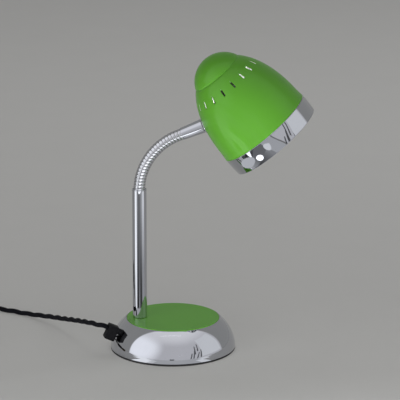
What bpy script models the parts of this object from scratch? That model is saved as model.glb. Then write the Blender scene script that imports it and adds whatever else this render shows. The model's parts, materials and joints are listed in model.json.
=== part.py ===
"""Gooseneck desk lamp: weighted round base, upright tube, flexible neck and bell shade.

Metres, +Z up, +X the way the shade looks. The origin is the middle of the foot's underside.
"""

from math import asin, atan2, cos, pi, radians, sin, sqrt

import bmesh
import bpy
from mathutils import Matrix, Vector

GAP = 0.0003  # clearance kept between pieces that touch or fit in each other

# Base: a chrome ring whose outer wall is an arc, closed on top by an enamelled plate
BASE_RADIUS = 0.0700
DOME_ARC = 0.0438
DOME_CENTRE = BASE_RADIUS - DOME_ARC
DOME_RIM = 0.0021
DOME_TOP = 0.0350
WALL = 0.0012
PLATE_TOP = 0.0356
PLATE_RADIUS = 0.0516
PLATE_THICK = 0.0017
PLATE_UNDER = PLATE_TOP - PLATE_THICK
FOOT_THICK = 0.0018
BALLAST_RADIUS = 0.0460
BALLAST_BOTTOM = 0.0063
BALLAST_TOP = 0.0173

# Stem: a straight tube near the back edge of the plate
STEM_X = -0.0369
STEM_RADIUS = 0.0080
STEM_TOP = 0.1840
STEM_BORE = STEM_RADIUS - WALL
NIPPLE_RADIUS = 0.0050
NIPPLE_BORE = 0.0036

# Neck: twelve ball and socket links between the socket in the stem and the fitting of the head
LINK_COUNT = 12
LINK_PITCH = 0.006206
LINK_TURN = radians(5.23)
FIRST_HINGE = Vector((STEM_X, 0, 0.1844))
NECK_RADIUS = 0.00655
BALL_RADIUS = 0.0050
SOCKET_RADIUS = BALL_RADIUS + GAP
NECK_BORE = 0.0030
SOCKET_LIP = 0.0009
SOCKET_DEPTH = 0.0034
NECK_SIDES = 12
FERRULE_START = 0.0085
FERRULE_END = 0.0332

# Shade: a bell with a domed crown. Its frame has +Z along the shade's axis towards the mouth and its
# origin where the enamelled bell meets the chrome band
SHADE_ORIGIN = Vector((0.1007, 0, 0.2537))
SHADE_TILT = radians(49.65)
BELL_RADIUS = 0.0544
BELL_LENGTH = 0.0943
BELL_POWER = 2.3
FLARE = 0.0008
FLARE_LENGTH = 0.0100
CREASE_DEPTH = 0.0803
CROWN_DEPTH = 0.1004
BAND_LENGTH = 0.0203
BAND_RADIUS = BELL_RADIUS + FLARE
BAND_LIP_RADIUS = 0.0546
CROWN_POINTS = 6
BELL_POINTS = 9
VENT_COUNT = 18
VENT_DEPTH = 0.0657
VENT_LENGTH = 0.0078
VENT_WIDTH = 0.0020
VENT_PHASE = radians(15)

# Lampholder for an E14 bulb, on a strip that is clamped where the neck enters the shade
HOLDER_DEPTH = 0.0740
HOLDER_LENGTH = 0.0440
HOLDER_RADIUS = 0.0140
BULB_RADIUS = 0.0225
BULB_CAP_RADIUS = 0.0070
BULB_WALL = 0.0010
BULB_DEPTH = 0.0080
STRIP_THICK = 0.0015
STRIP_WIDTH = 0.0140
LEAD_RADIUS = 0.0015
SUPPLY_RADIUS = 0.0020
LEAD_STEP = 0.0060

# Cord grip, on the left of the base and a little towards the front
GRIP_TURN = radians(20)
GRIP_HEIGHT = 0.0244
GRIP_AXIS_TURN = radians(13)
GRIP_AXIS_RISE = radians(25)
GRIP_INNER_FACE = 0.0033
GRIP_OUTER_FACE = 0.0151
GRIP_HALF_WIDTH = 0.0054
GRIP_HALF_HEIGHT = 0.0084
GRIP_BORE_OFFSET = 0.0036
GRIP_STEM_RADIUS = 0.0036
GRIP_STEM_BORE = 0.0027
GRIP_STEM_INNER = -0.0090

# Cord: 6 mm across, from the grip to the switch, into a coil and out to the plug
CORD_RADIUS = 0.0030
CORD_REST = 0.0031
CORD_STEP = 0.0140
END_STRAIGHT = 0.0025
RUN_POINTS = [
    (-0.0750, -0.0252, 0.0322),
    (-0.0796, -0.0238, 0.0330),
    (-0.0842, -0.0194, 0.0325),
    (-0.0888, -0.0130, 0.0317),
    (-0.0938, -0.0056, 0.0303),
    (-0.1000, 0.0060, 0.0277),
    (-0.1064, 0.0190, 0.0245),
    (-0.1156, 0.0368, 0.0201),
    (-0.1250, 0.0552, 0.0153),
    (-0.1344, 0.0718, 0.0113),
    (-0.1438, 0.0860, 0.0080),
    (-0.1590, 0.1018, 0.0048),
    (-0.1746, 0.1138, CORD_REST),
    (-0.1904, 0.1230, CORD_REST),
    (-0.2050, 0.1310, CORD_REST),
    (-0.2160, 0.1376, 0.0044),
    (-0.2250, 0.1430, 0.0069),
    (-0.2325, 0.1460, 0.0078),
]
SWITCH_CENTRE = Vector((-0.2660, 0.1460, 0))
SWITCH_LENGTH = 0.0560
SWITCH_WIDTH = 0.0240
SWITCH_HEIGHT = 0.0150
SWITCH_SPLIT = 0.0078
SWITCH_CORD_HEIGHT = 0.0078
ROCKER_LENGTH = 0.0168
ROCKER_WIDTH = 0.0090
ROCKER_LEAN = radians(8)
ROCKER_PIVOT = 0.0110
BRIDGE_POINTS = [
    (-0.2995, 0.1460, 0.0078),
    (-0.3075, 0.1440, 0.0060),
    (-0.3160, 0.1395, 0.0043),
    (-0.3245, 0.1310, 0.0033),
    (-0.3300, 0.1195, CORD_REST),
    (-0.3318, 0.1000, CORD_REST),
]
COIL_CENTRE = Vector((-0.2920, 0.0750, 0))
COIL_MIDDLE = 0.0340
COIL_HALF_WIDTH = 0.0093
COIL_HEIGHT = 0.0166
TIE_THICK = 0.0012
TIE_WIDTH = 0.0090
TIE_TURN = radians(40)
END_POINTS = [
    (-0.3140, 0.0340, 0.0090),
    (-0.3110, 0.0250, 0.0068),
    (-0.3065, 0.0150, 0.0050),
    (-0.3000, 0.0075, 0.0048),
    (-0.2880, 0.0030, 0.0060),
]
PLUG_START = Vector((-0.2780, 0.0012, 0.0070))
PLUG_HEADING = radians(-8)
PLUG_LENGTH = 0.0500
PIN_RADIUS = 0.0020
PIN_LENGTH = 0.0190
PIN_OFFSET = 0.0093

TURN_SIDES = 36
TUBE_SIDES = 20
SMALL_SIDES = 16
NUT_SIDES = 12


def dome_radius(height):
    return DOME_CENTRE + sqrt(DOME_ARC**2 - height**2)


def bell_radius(depth):
    """Outer radius of the bell at a distance from the mouth band towards the crown."""
    flare = FLARE * max(0.0, 1 - depth / FLARE_LENGTH) ** 2
    return BELL_RADIUS * sqrt(1 - (max(depth, 0) / BELL_LENGTH) ** BELL_POWER) + flare


def material(name, colour, roughness, metallic):
    new = bpy.data.materials.new(name)
    new.use_nodes = True
    shader = new.node_tree.nodes["Principled BSDF"]
    shader.inputs["Base Color"].default_value = (*colour, 1)
    shader.inputs["Roughness"].default_value = roughness
    shader.inputs["Metallic"].default_value = metallic
    return new


def make_materials():
    return {
        "chrome": material("chrome", (0.78, 0.79, 0.81), 0.08, 1.0),
        "steel": material("steel", (0.55, 0.56, 0.57), 0.35, 1.0),
        "iron": material("iron", (0.12, 0.12, 0.13), 0.70, 0.6),
        "enamel": material("enamel", (0.12, 0.42, 0.03), 0.30, 0.0),
        "brass": material("brass", (0.72, 0.55, 0.25), 0.30, 1.0),
        "black": material("black", (0.012, 0.012, 0.014), 0.45, 0.0),
        "rubber": material("rubber", (0.020, 0.020, 0.022), 0.80, 0.0),
        "fabric": material("fabric", (0.015, 0.015, 0.022), 0.90, 0.0),
        "ceramic": material("ceramic", (0.80, 0.79, 0.76), 0.40, 0.0),
        "glass": material("glass", (0.92, 0.92, 0.90), 0.15, 0.0),
    }


def add_node(name, mesh, finish, parent=None):
    node = bpy.data.objects.new(name, mesh)
    bpy.context.scene.collection.objects.link(node)
    mesh.materials.clear()
    mesh.materials.append(MATERIALS[finish])
    node.parent = parent
    if isinstance(mesh, bpy.types.Mesh):
        mesh.shade_smooth()
        mesh.set_sharp_from_angle(angle=radians(35))
    return node


def add_frame(name, matrix, parent=None):
    """An empty that holds pieces in a frame of their own."""
    frame = bpy.data.objects.new(name, None)
    bpy.context.scene.collection.objects.link(frame)
    frame.parent = parent
    frame.matrix_basis = matrix
    return frame


def mesh_from(bm, name):
    bmesh.ops.recalc_face_normals(bm, faces=bm.faces)
    mesh = bpy.data.meshes.new(name)
    bm.to_mesh(mesh)
    bm.free()
    return mesh


def turned_mesh(name, profile, sides=TURN_SIDES, closed=True, centre=(0, 0, 0)):
    """Turns (radius, height) points about Z. Radius 0 makes a pole, and closed joins last to first."""
    bm = bmesh.new()
    rings = []
    for radius, height in profile:
        count = 1 if radius == 0 else sides
        rings.append(
            [
                bm.verts.new(
                    (
                        centre[0] + radius * cos(2 * pi * k / sides),
                        centre[1] + radius * sin(2 * pi * k / sides),
                        centre[2] + height,
                    )
                )
                for k in range(count)
            ]
        )
    pairs = list(zip(rings, rings[1:]))
    if closed and len(rings[0]) > 1:
        pairs.append((rings[-1], rings[0]))
    for low, high in pairs:
        for k in range(sides):
            after = (k + 1) % sides
            if len(low) == 1 and len(high) == 1:
                continue
            if len(low) == 1:
                bm.faces.new((low[0], high[after], high[k]))
            elif len(high) == 1:
                bm.faces.new((low[k], low[after], high[0]))
            else:
                bm.faces.new((low[k], low[after], high[after], high[k]))
    return mesh_from(bm, name)


def ring_mesh(name, outer, inner, bottom, top, sides=SMALL_SIDES, chamfer=0.0, centre=(0, 0, 0)):
    """A washer, tube or, with inner 0, a solid disc."""
    edge = [(outer, bottom), (outer, top)]
    if chamfer:
        edge = [
            (outer - chamfer, bottom),
            (outer, bottom + chamfer),
            (outer, top - chamfer),
            (outer - chamfer, top),
        ]
    return turned_mesh(name, [(inner, bottom), *edge, (inner, top)], sides, inner > 0, centre)


def nut_mesh(name, across_flats, bore, bottom, top, centre=(0, 0, 0)):
    """A hexagon nut with a round bore."""
    sides = NUT_SIDES
    bm = bmesh.new()
    loops = []
    for height in (bottom, top):
        for inner in (False, True):
            loop = []
            for k in range(sides):
                angle = 2 * pi * k / sides
                flat = (angle + pi / 6) % (pi / 3) - pi / 6
                radius = bore if inner else across_flats / 2 / cos(flat)
                place = (radius * cos(angle), radius * sin(angle), height)
                loop.append(bm.verts.new(Vector(place) + Vector(centre)))
            loops.append(loop)
    low_out, low_in, high_out, high_in = loops
    for first, second in ((low_out, high_out), (high_out, high_in), (high_in, low_in), (low_in, low_out)):
        for k in range(sides):
            after = (k + 1) % sides
            bm.faces.new((first[k], first[after], second[after], second[k]))
    return mesh_from(bm, name)


def box_mesh(name, low, high, bevel=0.0, segments=2):
    bm = bmesh.new()
    bmesh.ops.create_cube(bm, size=1)
    low, high = Vector(low), Vector(high)
    bmesh.ops.scale(bm, vec=high - low, verts=bm.verts)
    bmesh.ops.translate(bm, vec=(low + high) / 2, verts=bm.verts)
    if bevel:
        bmesh.ops.bevel(bm, geom=bm.edges[:], offset=bevel, segments=segments, affect="EDGES", profile=0.5)
    return mesh_from(bm, name)


def extruded_mesh(name, outline, half_width):
    """Extrudes an outline of (x, z) points along Y, half_width to each side."""
    bm = bmesh.new()
    near = [bm.verts.new((x, -half_width, z)) for x, z in outline]
    far = [bm.verts.new((x, half_width, z)) for x, z in outline]
    bm.faces.new(near)
    bm.faces.new(list(reversed(far)))
    count = len(outline)
    for k in range(count):
        after = (k + 1) % count
        bm.faces.new((near[k], far[k], far[after], near[after]))
    return mesh_from(bm, name)


def lofted_mesh(name, sections, sides=SMALL_SIDES):
    """Joins rounded sections, each (position on X, half width, half height, squareness)."""
    bm = bmesh.new()
    rings = []
    for along, half_width, half_height, squareness in sections:
        ring = []
        for k in range(sides):
            angle = 2 * pi * (k + 0.5) / sides
            across = abs(cos(angle)) ** squareness * (1 if cos(angle) > 0 else -1)
            up = abs(sin(angle)) ** squareness * (1 if sin(angle) > 0 else -1)
            ring.append(bm.verts.new((along, half_width * across, half_height * up)))
        rings.append(ring)
    for low, high in zip(rings, rings[1:]):
        for k in range(sides):
            after = (k + 1) % sides
            bm.faces.new((low[k], low[after], high[after], high[k]))
    bm.faces.new(rings[0])
    bm.faces.new(rings[-1])
    return mesh_from(bm, name)


def subtract(node, mesh, parent=None, operation="DIFFERENCE"):
    """Cuts a mesh from a node with a Boolean, and keeps the cutter out of the model."""
    cutter = bpy.data.objects.new(node.name + "_cutter", mesh)
    bpy.context.scene.collection.objects.link(cutter)
    cutter.parent = parent
    cutter.hide_render = True
    cutter.display_type = "WIRE"
    boolean = node.modifiers.new("cut", "BOOLEAN")
    boolean.operation = operation
    boolean.solver = "EXACT"
    boolean.object = cutter


def smooth_path(points, step):
    """Points a step apart on a Catmull-Rom curve through the given points, with one more near each end."""
    points = [Vector(p) for p in points]
    ends = [2 * points[0] - points[1], *points, 2 * points[-1] - points[-2]]
    fine = []
    for a, b, c, d in zip(ends, ends[1:], ends[2:], ends[3:]):
        for k in range(24):
            t = k / 24
            fine.append(
                0.5
                * (
                    2 * b
                    + (c - a) * t
                    + (2 * a - 5 * b + 4 * c - d) * t**2
                    + (3 * b - a - 3 * c + d) * t**3
                )
            )
    fine.append(points[-1])
    lengths = [0.0]
    for a, b in zip(fine, fine[1:]):
        lengths.append(lengths[-1] + (b - a).length)
    total = lengths[-1]
    count = max(2, round(total / step))
    between = [total * k / count for k in range(1, count)]
    path = []
    at = 0
    for wanted in [0, END_STRAIGHT, *between, total - END_STRAIGHT, total]:
        while at < len(fine) - 2 and lengths[at + 1] < wanted:
            at += 1
        span = lengths[at + 1] - lengths[at]
        path.append(fine[at].lerp(fine[at + 1], (wanted - lengths[at]) / span))
    return path


def add_tube(name, points, radius, finish, step=CORD_STEP, parent=None, resolution=2):
    curve = bpy.data.curves.new(name, "CURVE")
    curve.dimensions = "3D"
    path = smooth_path(points, step)
    spline = curve.splines.new("POLY")
    spline.points.add(len(path) - 1)
    for point, place in zip(spline.points, path):
        point.co = (*place, 1)
    curve.bevel_depth = radius
    curve.bevel_resolution = resolution
    curve.use_fill_caps = True
    curve.resolution_u = 1
    return add_node(name, curve, finish, parent)


def arc(centre, radius, start, end, count):
    """(radius, height) points of a sphere's outline. Angles are from the -Z pole."""
    turns = [start + (end - start) * k / (count - 1) for k in range(count)]
    return [(radius * sin(t), centre - radius * cos(t)) for t in turns]


# ---- base ----


def base_profile():
    first, last = asin(DOME_RIM / DOME_ARC), asin(DOME_TOP / DOME_ARC)
    count = 8
    turns = [first + (last - first) * k / (count - 1) for k in range(count)]
    outer = [(DOME_CENTRE + DOME_ARC * cos(t), DOME_ARC * sin(t)) for t in turns]
    inner_arc = DOME_ARC - WALL
    shelf = PLATE_UNDER - GAP
    inner_last = asin((shelf - WALL) / inner_arc)
    turns = [inner_last + (first - inner_last) * k / (count - 1) for k in range(count)]
    inner = [(DOME_CENTRE + inner_arc * cos(t), inner_arc * sin(t)) for t in turns]
    seat = PLATE_RADIUS + GAP
    shelf_edge = PLATE_RADIUS - 0.0030
    return [
        *outer,
        (seat, DOME_TOP),
        (seat, shelf),
        (shelf_edge, shelf),
        (shelf_edge, shelf - WALL),
        *inner,
    ]


def grip_frame_matrix():
    radius = dome_radius(GRIP_HEIGHT)
    place = Vector((-radius * cos(GRIP_TURN), -radius * sin(GRIP_TURN), GRIP_HEIGHT))
    level = Vector((-cos(GRIP_AXIS_TURN), -sin(GRIP_AXIS_TURN), 0))
    outward = level * cos(GRIP_AXIS_RISE) + Vector((0, 0, sin(GRIP_AXIS_RISE)))
    side = Vector((0, 0, 1)).cross(outward).normalized()
    upward = outward.cross(side)
    axes = Matrix((side, upward, outward)).transposed()
    return Matrix.Translation(place) @ axes.to_4x4()


def make_base():
    shell = add_node("base_shell", turned_mesh("base_shell", base_profile()), "chrome")
    grip = add_frame("grip_frame", grip_frame_matrix())
    subtract(shell, ring_mesh("cord_hole", GRIP_STEM_RADIUS + GAP, 0, -0.0150, 0.0100), grip)

    plate_edge = 0.0004
    plate = add_node(
        "base_top_plate",
        turned_mesh(
            "base_top_plate",
            [
                (0, PLATE_UNDER),
                (PLATE_RADIUS, PLATE_UNDER),
                (PLATE_RADIUS, PLATE_TOP - plate_edge),
                (PLATE_RADIUS - plate_edge, PLATE_TOP),
                (0, PLATE_TOP),
            ],
            closed=False,
        ),
        "enamel",
    )
    subtract(
        plate,
        ring_mesh("stem_hole", NIPPLE_RADIUS + GAP, 0, 0.0300, 0.0400, centre=(STEM_X, 0, 0)),
    )

    foot_profile = [
        (0, 0),
        (0.0692, 0),
        (0.0697, 0.0005),
        (0.0697, FOOT_THICK),
        (0.0683, FOOT_THICK),
        (0.0676, 0.0044),
        (0.0640, 0.0044),
        (0.0630, FOOT_THICK),
        (0, FOOT_THICK),
    ]
    add_node("foot_pad", turned_mesh("foot_pad", foot_profile, closed=False), "rubber")
    add_node("bottom_cover", ring_mesh("bottom_cover", 0.0676, 0.0033, 0.0048, 0.0060, TURN_SIDES), "steel")
    add_node(
        "ballast_disc",
        ring_mesh("ballast_disc", BALLAST_RADIUS, 0.0033, BALLAST_BOTTOM, BALLAST_TOP, TURN_SIDES, 0.0010),
        "iron",
    )
    boss_bottom = BALLAST_TOP + GAP
    boss_top = PLATE_UNDER - GAP
    add_node("plate_boss", ring_mesh("plate_boss", 0.0080, 0.0033, boss_bottom, boss_top), "steel")
    bolt = [(0, 0.0022), (0.0050, 0.0022), (0.0050, 0.0045), (0.0030, 0.0045), (0.0030, 0.0300), (0, 0.0300)]
    add_node("tie_bolt", turned_mesh("tie_bolt", bolt, SMALL_SIDES, closed=False), "steel")
    return grip


def make_stem():
    centre = (STEM_X, 0, 0)
    foot = PLATE_TOP + GAP
    add_node(
        "stem_tube",
        ring_mesh("stem_tube", STEM_RADIUS, STEM_BORE, foot, STEM_TOP, TUBE_SIDES, centre=centre),
        "chrome",
    )
    bush_radius = STEM_BORE - GAP
    thread = NIPPLE_RADIUS + GAP
    add_node("stem_bush", ring_mesh("stem_bush", bush_radius, thread, foot, 0.0480, centre=centre), "steel")
    nipple = ring_mesh("stem_nipple", NIPPLE_RADIUS, NIPPLE_BORE, 0.0270, 0.0460, centre=centre)
    add_node("stem_nipple", nipple, "steel")
    washer_top = PLATE_UNDER - GAP
    washer = ring_mesh("stem_washer", 0.0090, thread, washer_top - 0.0012, washer_top, centre=centre)
    add_node("stem_washer", washer, "steel")
    nut_top = washer_top - 0.0012 - GAP
    add_node("stem_nut", nut_mesh("stem_nut", 0.0140, thread, nut_top - 0.0035, nut_top, centre), "steel")

    socket = [
        (NECK_BORE, -0.0160),
        (bush_radius, -0.0160),
        (bush_radius, SOCKET_LIP),
        *socket_outline(0),
    ]
    mesh = turned_mesh("neck_socket", socket, NECK_SIDES, centre=FIRST_HINGE)
    add_node("neck_socket", mesh, "steel")
    lead = [
        (-0.0140, -0.0173, 0.0222),
        (-0.0142, -0.0140, 0.0221),
        (-0.0200, -0.0085, 0.0212),
        (-0.0300, -0.0030, 0.0205),
        (STEM_X, 0, 0.0250),
        (STEM_X, 0, 0.0320),
        (STEM_X, 0, 0.1760),
    ]
    add_tube("stem_lead", lead, LEAD_RADIUS, "black", step=LEAD_STEP)


def make_grip(frame):
    middle = -GRIP_BORE_OFFSET
    block = add_node(
        "cord_grip_block",
        box_mesh(
            "cord_grip_block",
            (-GRIP_HALF_WIDTH, middle - GRIP_HALF_HEIGHT, GRIP_INNER_FACE),
            (GRIP_HALF_WIDTH, middle + GRIP_HALF_HEIGHT, GRIP_OUTER_FACE),
            bevel=0.0008,
        ),
        "black",
        frame,
    )
    bore = CORD_RADIUS + GAP
    subtract(block, ring_mesh("bore", bore, 0, 0, 0.0200), frame)
    screw_depth = 0.0040
    screw_place = Matrix.Translation((0, middle - GRIP_HALF_HEIGHT - 0.0002, 0.0085))
    screw_frame = add_frame("grip_screw_frame", screw_place @ Matrix.Rotation(-pi / 2, 4, "X"), frame)
    subtract(block, ring_mesh("screw_hole", 0.0019, 0, -0.0020, screw_depth + GAP, 16), screw_frame)
    screw = ring_mesh("cord_grip_screw", 0.0016, 0, 0.0003, screw_depth, 16)
    add_node("cord_grip_screw", screw, "steel", screw_frame)
    stem_top = GRIP_INNER_FACE - GAP
    stem = ring_mesh("cord_grip_stem", GRIP_STEM_RADIUS, GRIP_STEM_BORE, GRIP_STEM_INNER, stem_top)
    add_node("cord_grip_stem", stem, "black", frame)
    nut = nut_mesh("cord_grip_nut", 0.0110, GRIP_STEM_RADIUS + GAP, -0.0076, -0.0046)
    add_node("cord_grip_nut", nut, "steel", frame)

    matrix = grip_frame_matrix()
    lead = [
        matrix @ Vector((0, 0, 0.0125)),
        matrix @ Vector((0, 0, 0.0020)),
        matrix @ Vector((0, 0, -0.0060)),
        matrix @ Vector((0, 0, GRIP_STEM_INNER - 0.0020)),
        (-0.0440, -0.0200, 0.0206),
        (-0.0360, -0.0222, 0.0222),
        (-0.0290, -0.0235, 0.0223),
    ]
    add_tube("supply_lead", lead, SUPPLY_RADIUS, "black", step=LEAD_STEP)
    add_node(
        "terminal_block",
        box_mesh("terminal_block", (-0.0280, -0.0290, 0.0178), (-0.0100, -0.0180, 0.0268), bevel=0.0008),
        "ceramic",
    )


# ---- neck ----


def socket_outline(hinge):
    """The cup above a link: lip, sphere and floor, about a hinge at this height."""
    top = asin(SOCKET_LIP / SOCKET_RADIUS)
    floor = -SOCKET_DEPTH
    low = -asin(0.0027 / SOCKET_RADIUS)
    turns = [top + (low - top) * k / 2 for k in range(3)]
    cup = [(SOCKET_RADIUS * cos(t), hinge + SOCKET_RADIUS * sin(t)) for t in turns]
    corner = sqrt(SOCKET_RADIUS**2 - floor**2)
    return [*cup, (corner, hinge + floor), (NECK_BORE, hinge + floor)]


def ball_outline():
    """The ball below a link, from its bore to the shoulder, about a hinge at height 0."""
    low, high = -asin(0.0022 / BALL_RADIUS), asin(0.0020 / BALL_RADIUS)
    turns = [low + (high - low) * k / 3 for k in range(4)]
    return [(NECK_BORE, -0.0022), *((BALL_RADIUS * cos(t), BALL_RADIUS * sin(t)) for t in turns)]


def hinge_matrix(number):
    """The frame of hinge 1, 2 and so on: at the hinge, with +Z up the piece above it."""
    place = FIRST_HINGE.copy()
    for k in range(1, number):
        place += LINK_PITCH * Vector((sin(k * LINK_TURN), 0, cos(k * LINK_TURN)))
    return Matrix.Translation(place) @ Matrix.Rotation(number * LINK_TURN, 4, "Y")


def make_links():
    profile = [
        *ball_outline(),
        (NECK_RADIUS, 0.0025),
        (NECK_RADIUS, LINK_PITCH + SOCKET_LIP),
        *socket_outline(LINK_PITCH),
    ]
    mesh = turned_mesh("neck_link", profile, NECK_SIDES)
    for number in range(1, LINK_COUNT + 1):
        link = add_node(f"neck_link_{number:02d}", mesh, "steel")
        link.matrix_basis = hinge_matrix(number)


# ---- head ----


def bell_outline(inset, last=0.0):
    """(radius, height) from the crown's tip down the bell to a last depth, inset from the outer surface.
    The bell's points lie closer together towards the crease, where it curves most."""
    crease_radius = bell_radius(CREASE_DEPTH)
    rise = CROWN_DEPTH - CREASE_DEPTH
    sphere = (crease_radius**2 + rise**2) / (2 * rise)
    half = atan2(crease_radius, sphere - rise)
    crown = arc(sphere - CROWN_DEPTH, sphere - inset, 0, half, CROWN_POINTS)
    crown[0] = (0, crown[0][1])
    bell = []
    for k in range(BELL_POINTS):
        depth = CREASE_DEPTH + (last - CREASE_DEPTH) * (k / (BELL_POINTS - 1)) ** 0.85
        bell.append((bell_radius(depth) - inset, -depth))
    return [*crown[:-1], *bell]


def shade_matrix():
    axis = Vector((cos(SHADE_TILT), 0, -sin(SHADE_TILT)))
    towards_neck = Vector((-sin(SHADE_TILT), 0, -cos(SHADE_TILT)))
    axes = Matrix((towards_neck, axis.cross(towards_neck), axis)).transposed()
    return Matrix.Translation(SHADE_ORIGIN) @ axes.to_4x4()


def vent_cutter():
    """A ring of long boxes through the bell's wall, in one mesh."""
    bm = bmesh.new()
    step = 0.0005
    slope = atan2(bell_radius(VENT_DEPTH - step) - bell_radius(VENT_DEPTH + step), 2 * step)
    middle = Matrix.Translation((bell_radius(VENT_DEPTH) - WALL / 2, 0, -VENT_DEPTH))
    lean = Matrix.Rotation(slope, 4, "Y")
    size = Matrix.Diagonal((0.0060, VENT_WIDTH, VENT_LENGTH, 1))
    for k in range(VENT_COUNT):
        turn = Matrix.Rotation(VENT_PHASE + 2 * pi * k / VENT_COUNT, 4, "Z")
        bmesh.ops.create_cube(bm, size=1, matrix=turn @ middle @ lean @ size)
    return mesh_from(bm, "vents")


def make_shade(frame, neck_frame):
    surface = turned_mesh("shade_shell", bell_outline(0, last=GAP), closed=False)
    if surface.polygons[0].normal.z > 0:
        surface.flip_normals()
    shell = add_node("shade_shell", surface, "enamel", frame)
    thick = shell.modifiers.new("wall", "SOLIDIFY")
    thick.thickness = WALL
    thick.offset = -1
    thick.use_even_offset = True
    subtract(shell, vent_cutter(), frame)
    subtract(shell, ring_mesh("neck_hole", NIPPLE_RADIUS + GAP, 0, 0.0200, 0.0450), neck_frame)

    sleeve = BAND_RADIUS - WALL - 2 * GAP
    lip = BAND_LIP_RADIUS
    band = [
        (BAND_RADIUS, 0),
        (BAND_RADIUS, BAND_LENGTH * 0.5),
        (lip, BAND_LENGTH - 0.0006),
        (lip - 0.0006, BAND_LENGTH),
        (lip - 0.0014, BAND_LENGTH),
        (lip - 0.0014, BAND_LENGTH - 0.0010),
        (BAND_RADIUS - WALL, BAND_LENGTH * 0.5),
        (BAND_RADIUS - 2 * WALL - GAP, 0.0006),
        (BAND_RADIUS - 2 * WALL - GAP, 0),
        (bell_radius(0.0060) - 2 * WALL - GAP, -0.0060),
        (bell_radius(0.0060) - WALL - 2 * GAP, -0.0060),
        (sleeve, 0),
    ]
    add_node("shade_rim_band", turned_mesh("shade_rim_band", band), "chrome", frame)


def solid_bell(name, inset):
    """The bell as one solid, to trim pieces that sit against its wall."""
    outline = bell_outline(inset)
    return turned_mesh(name, [*outline, (0, outline[-1][1])], closed=False)


def make_neck_end(frame, shade_frame):
    stub = [
        *ball_outline(),
        (0.0062, 0.0025),
        (0.0062, FERRULE_START + 0.0060),
        (NECK_BORE, FERRULE_START + 0.0060),
    ]
    mesh = turned_mesh("neck_end_fitting", stub, NECK_SIDES)
    add_node("neck_end_fitting", mesh, "steel", frame)
    ferrule = [
        (0.0062 + GAP, FERRULE_START),
        (0.0065 + GAP, FERRULE_START),
        (0.0072, FERRULE_START + 0.0080),
        (0.0079, FERRULE_END),
        (NIPPLE_RADIUS + GAP, FERRULE_END),
        (NIPPLE_RADIUS + GAP, FERRULE_START + 0.0070),
        (0.0062 + GAP, FERRULE_START + 0.0065),
    ]
    add_node("neck_ferrule", turned_mesh("neck_ferrule", ferrule, TUBE_SIDES), "chrome", frame)

    thread = NIPPLE_RADIUS + GAP
    collar_start = FERRULE_END + 0.0005
    collar_mesh = ring_mesh("ferrule_collar", 0.0083, thread, collar_start, collar_start + 0.0040, TUBE_SIDES)
    collar = add_node("ferrule_collar", collar_mesh, "chrome", frame)
    subtract(collar, solid_bell("outer_bell", -GAP), shade_frame)

    nipple = ring_mesh("neck_nipple", NIPPLE_RADIUS, NIPPLE_BORE, FERRULE_START + 0.0080, 0.0450)
    add_node("neck_nipple", nipple, "steel", frame)


def globe_outline(radius, neck_radius):
    """(radius, height) from the tip of the bulb at the mouth side to its neck."""
    last = pi - asin(neck_radius / radius)
    turns = [last * k / 8 for k in range(9)]
    return [(radius * sin(t), radius * cos(t) - BULB_DEPTH) for t in turns]


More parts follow.
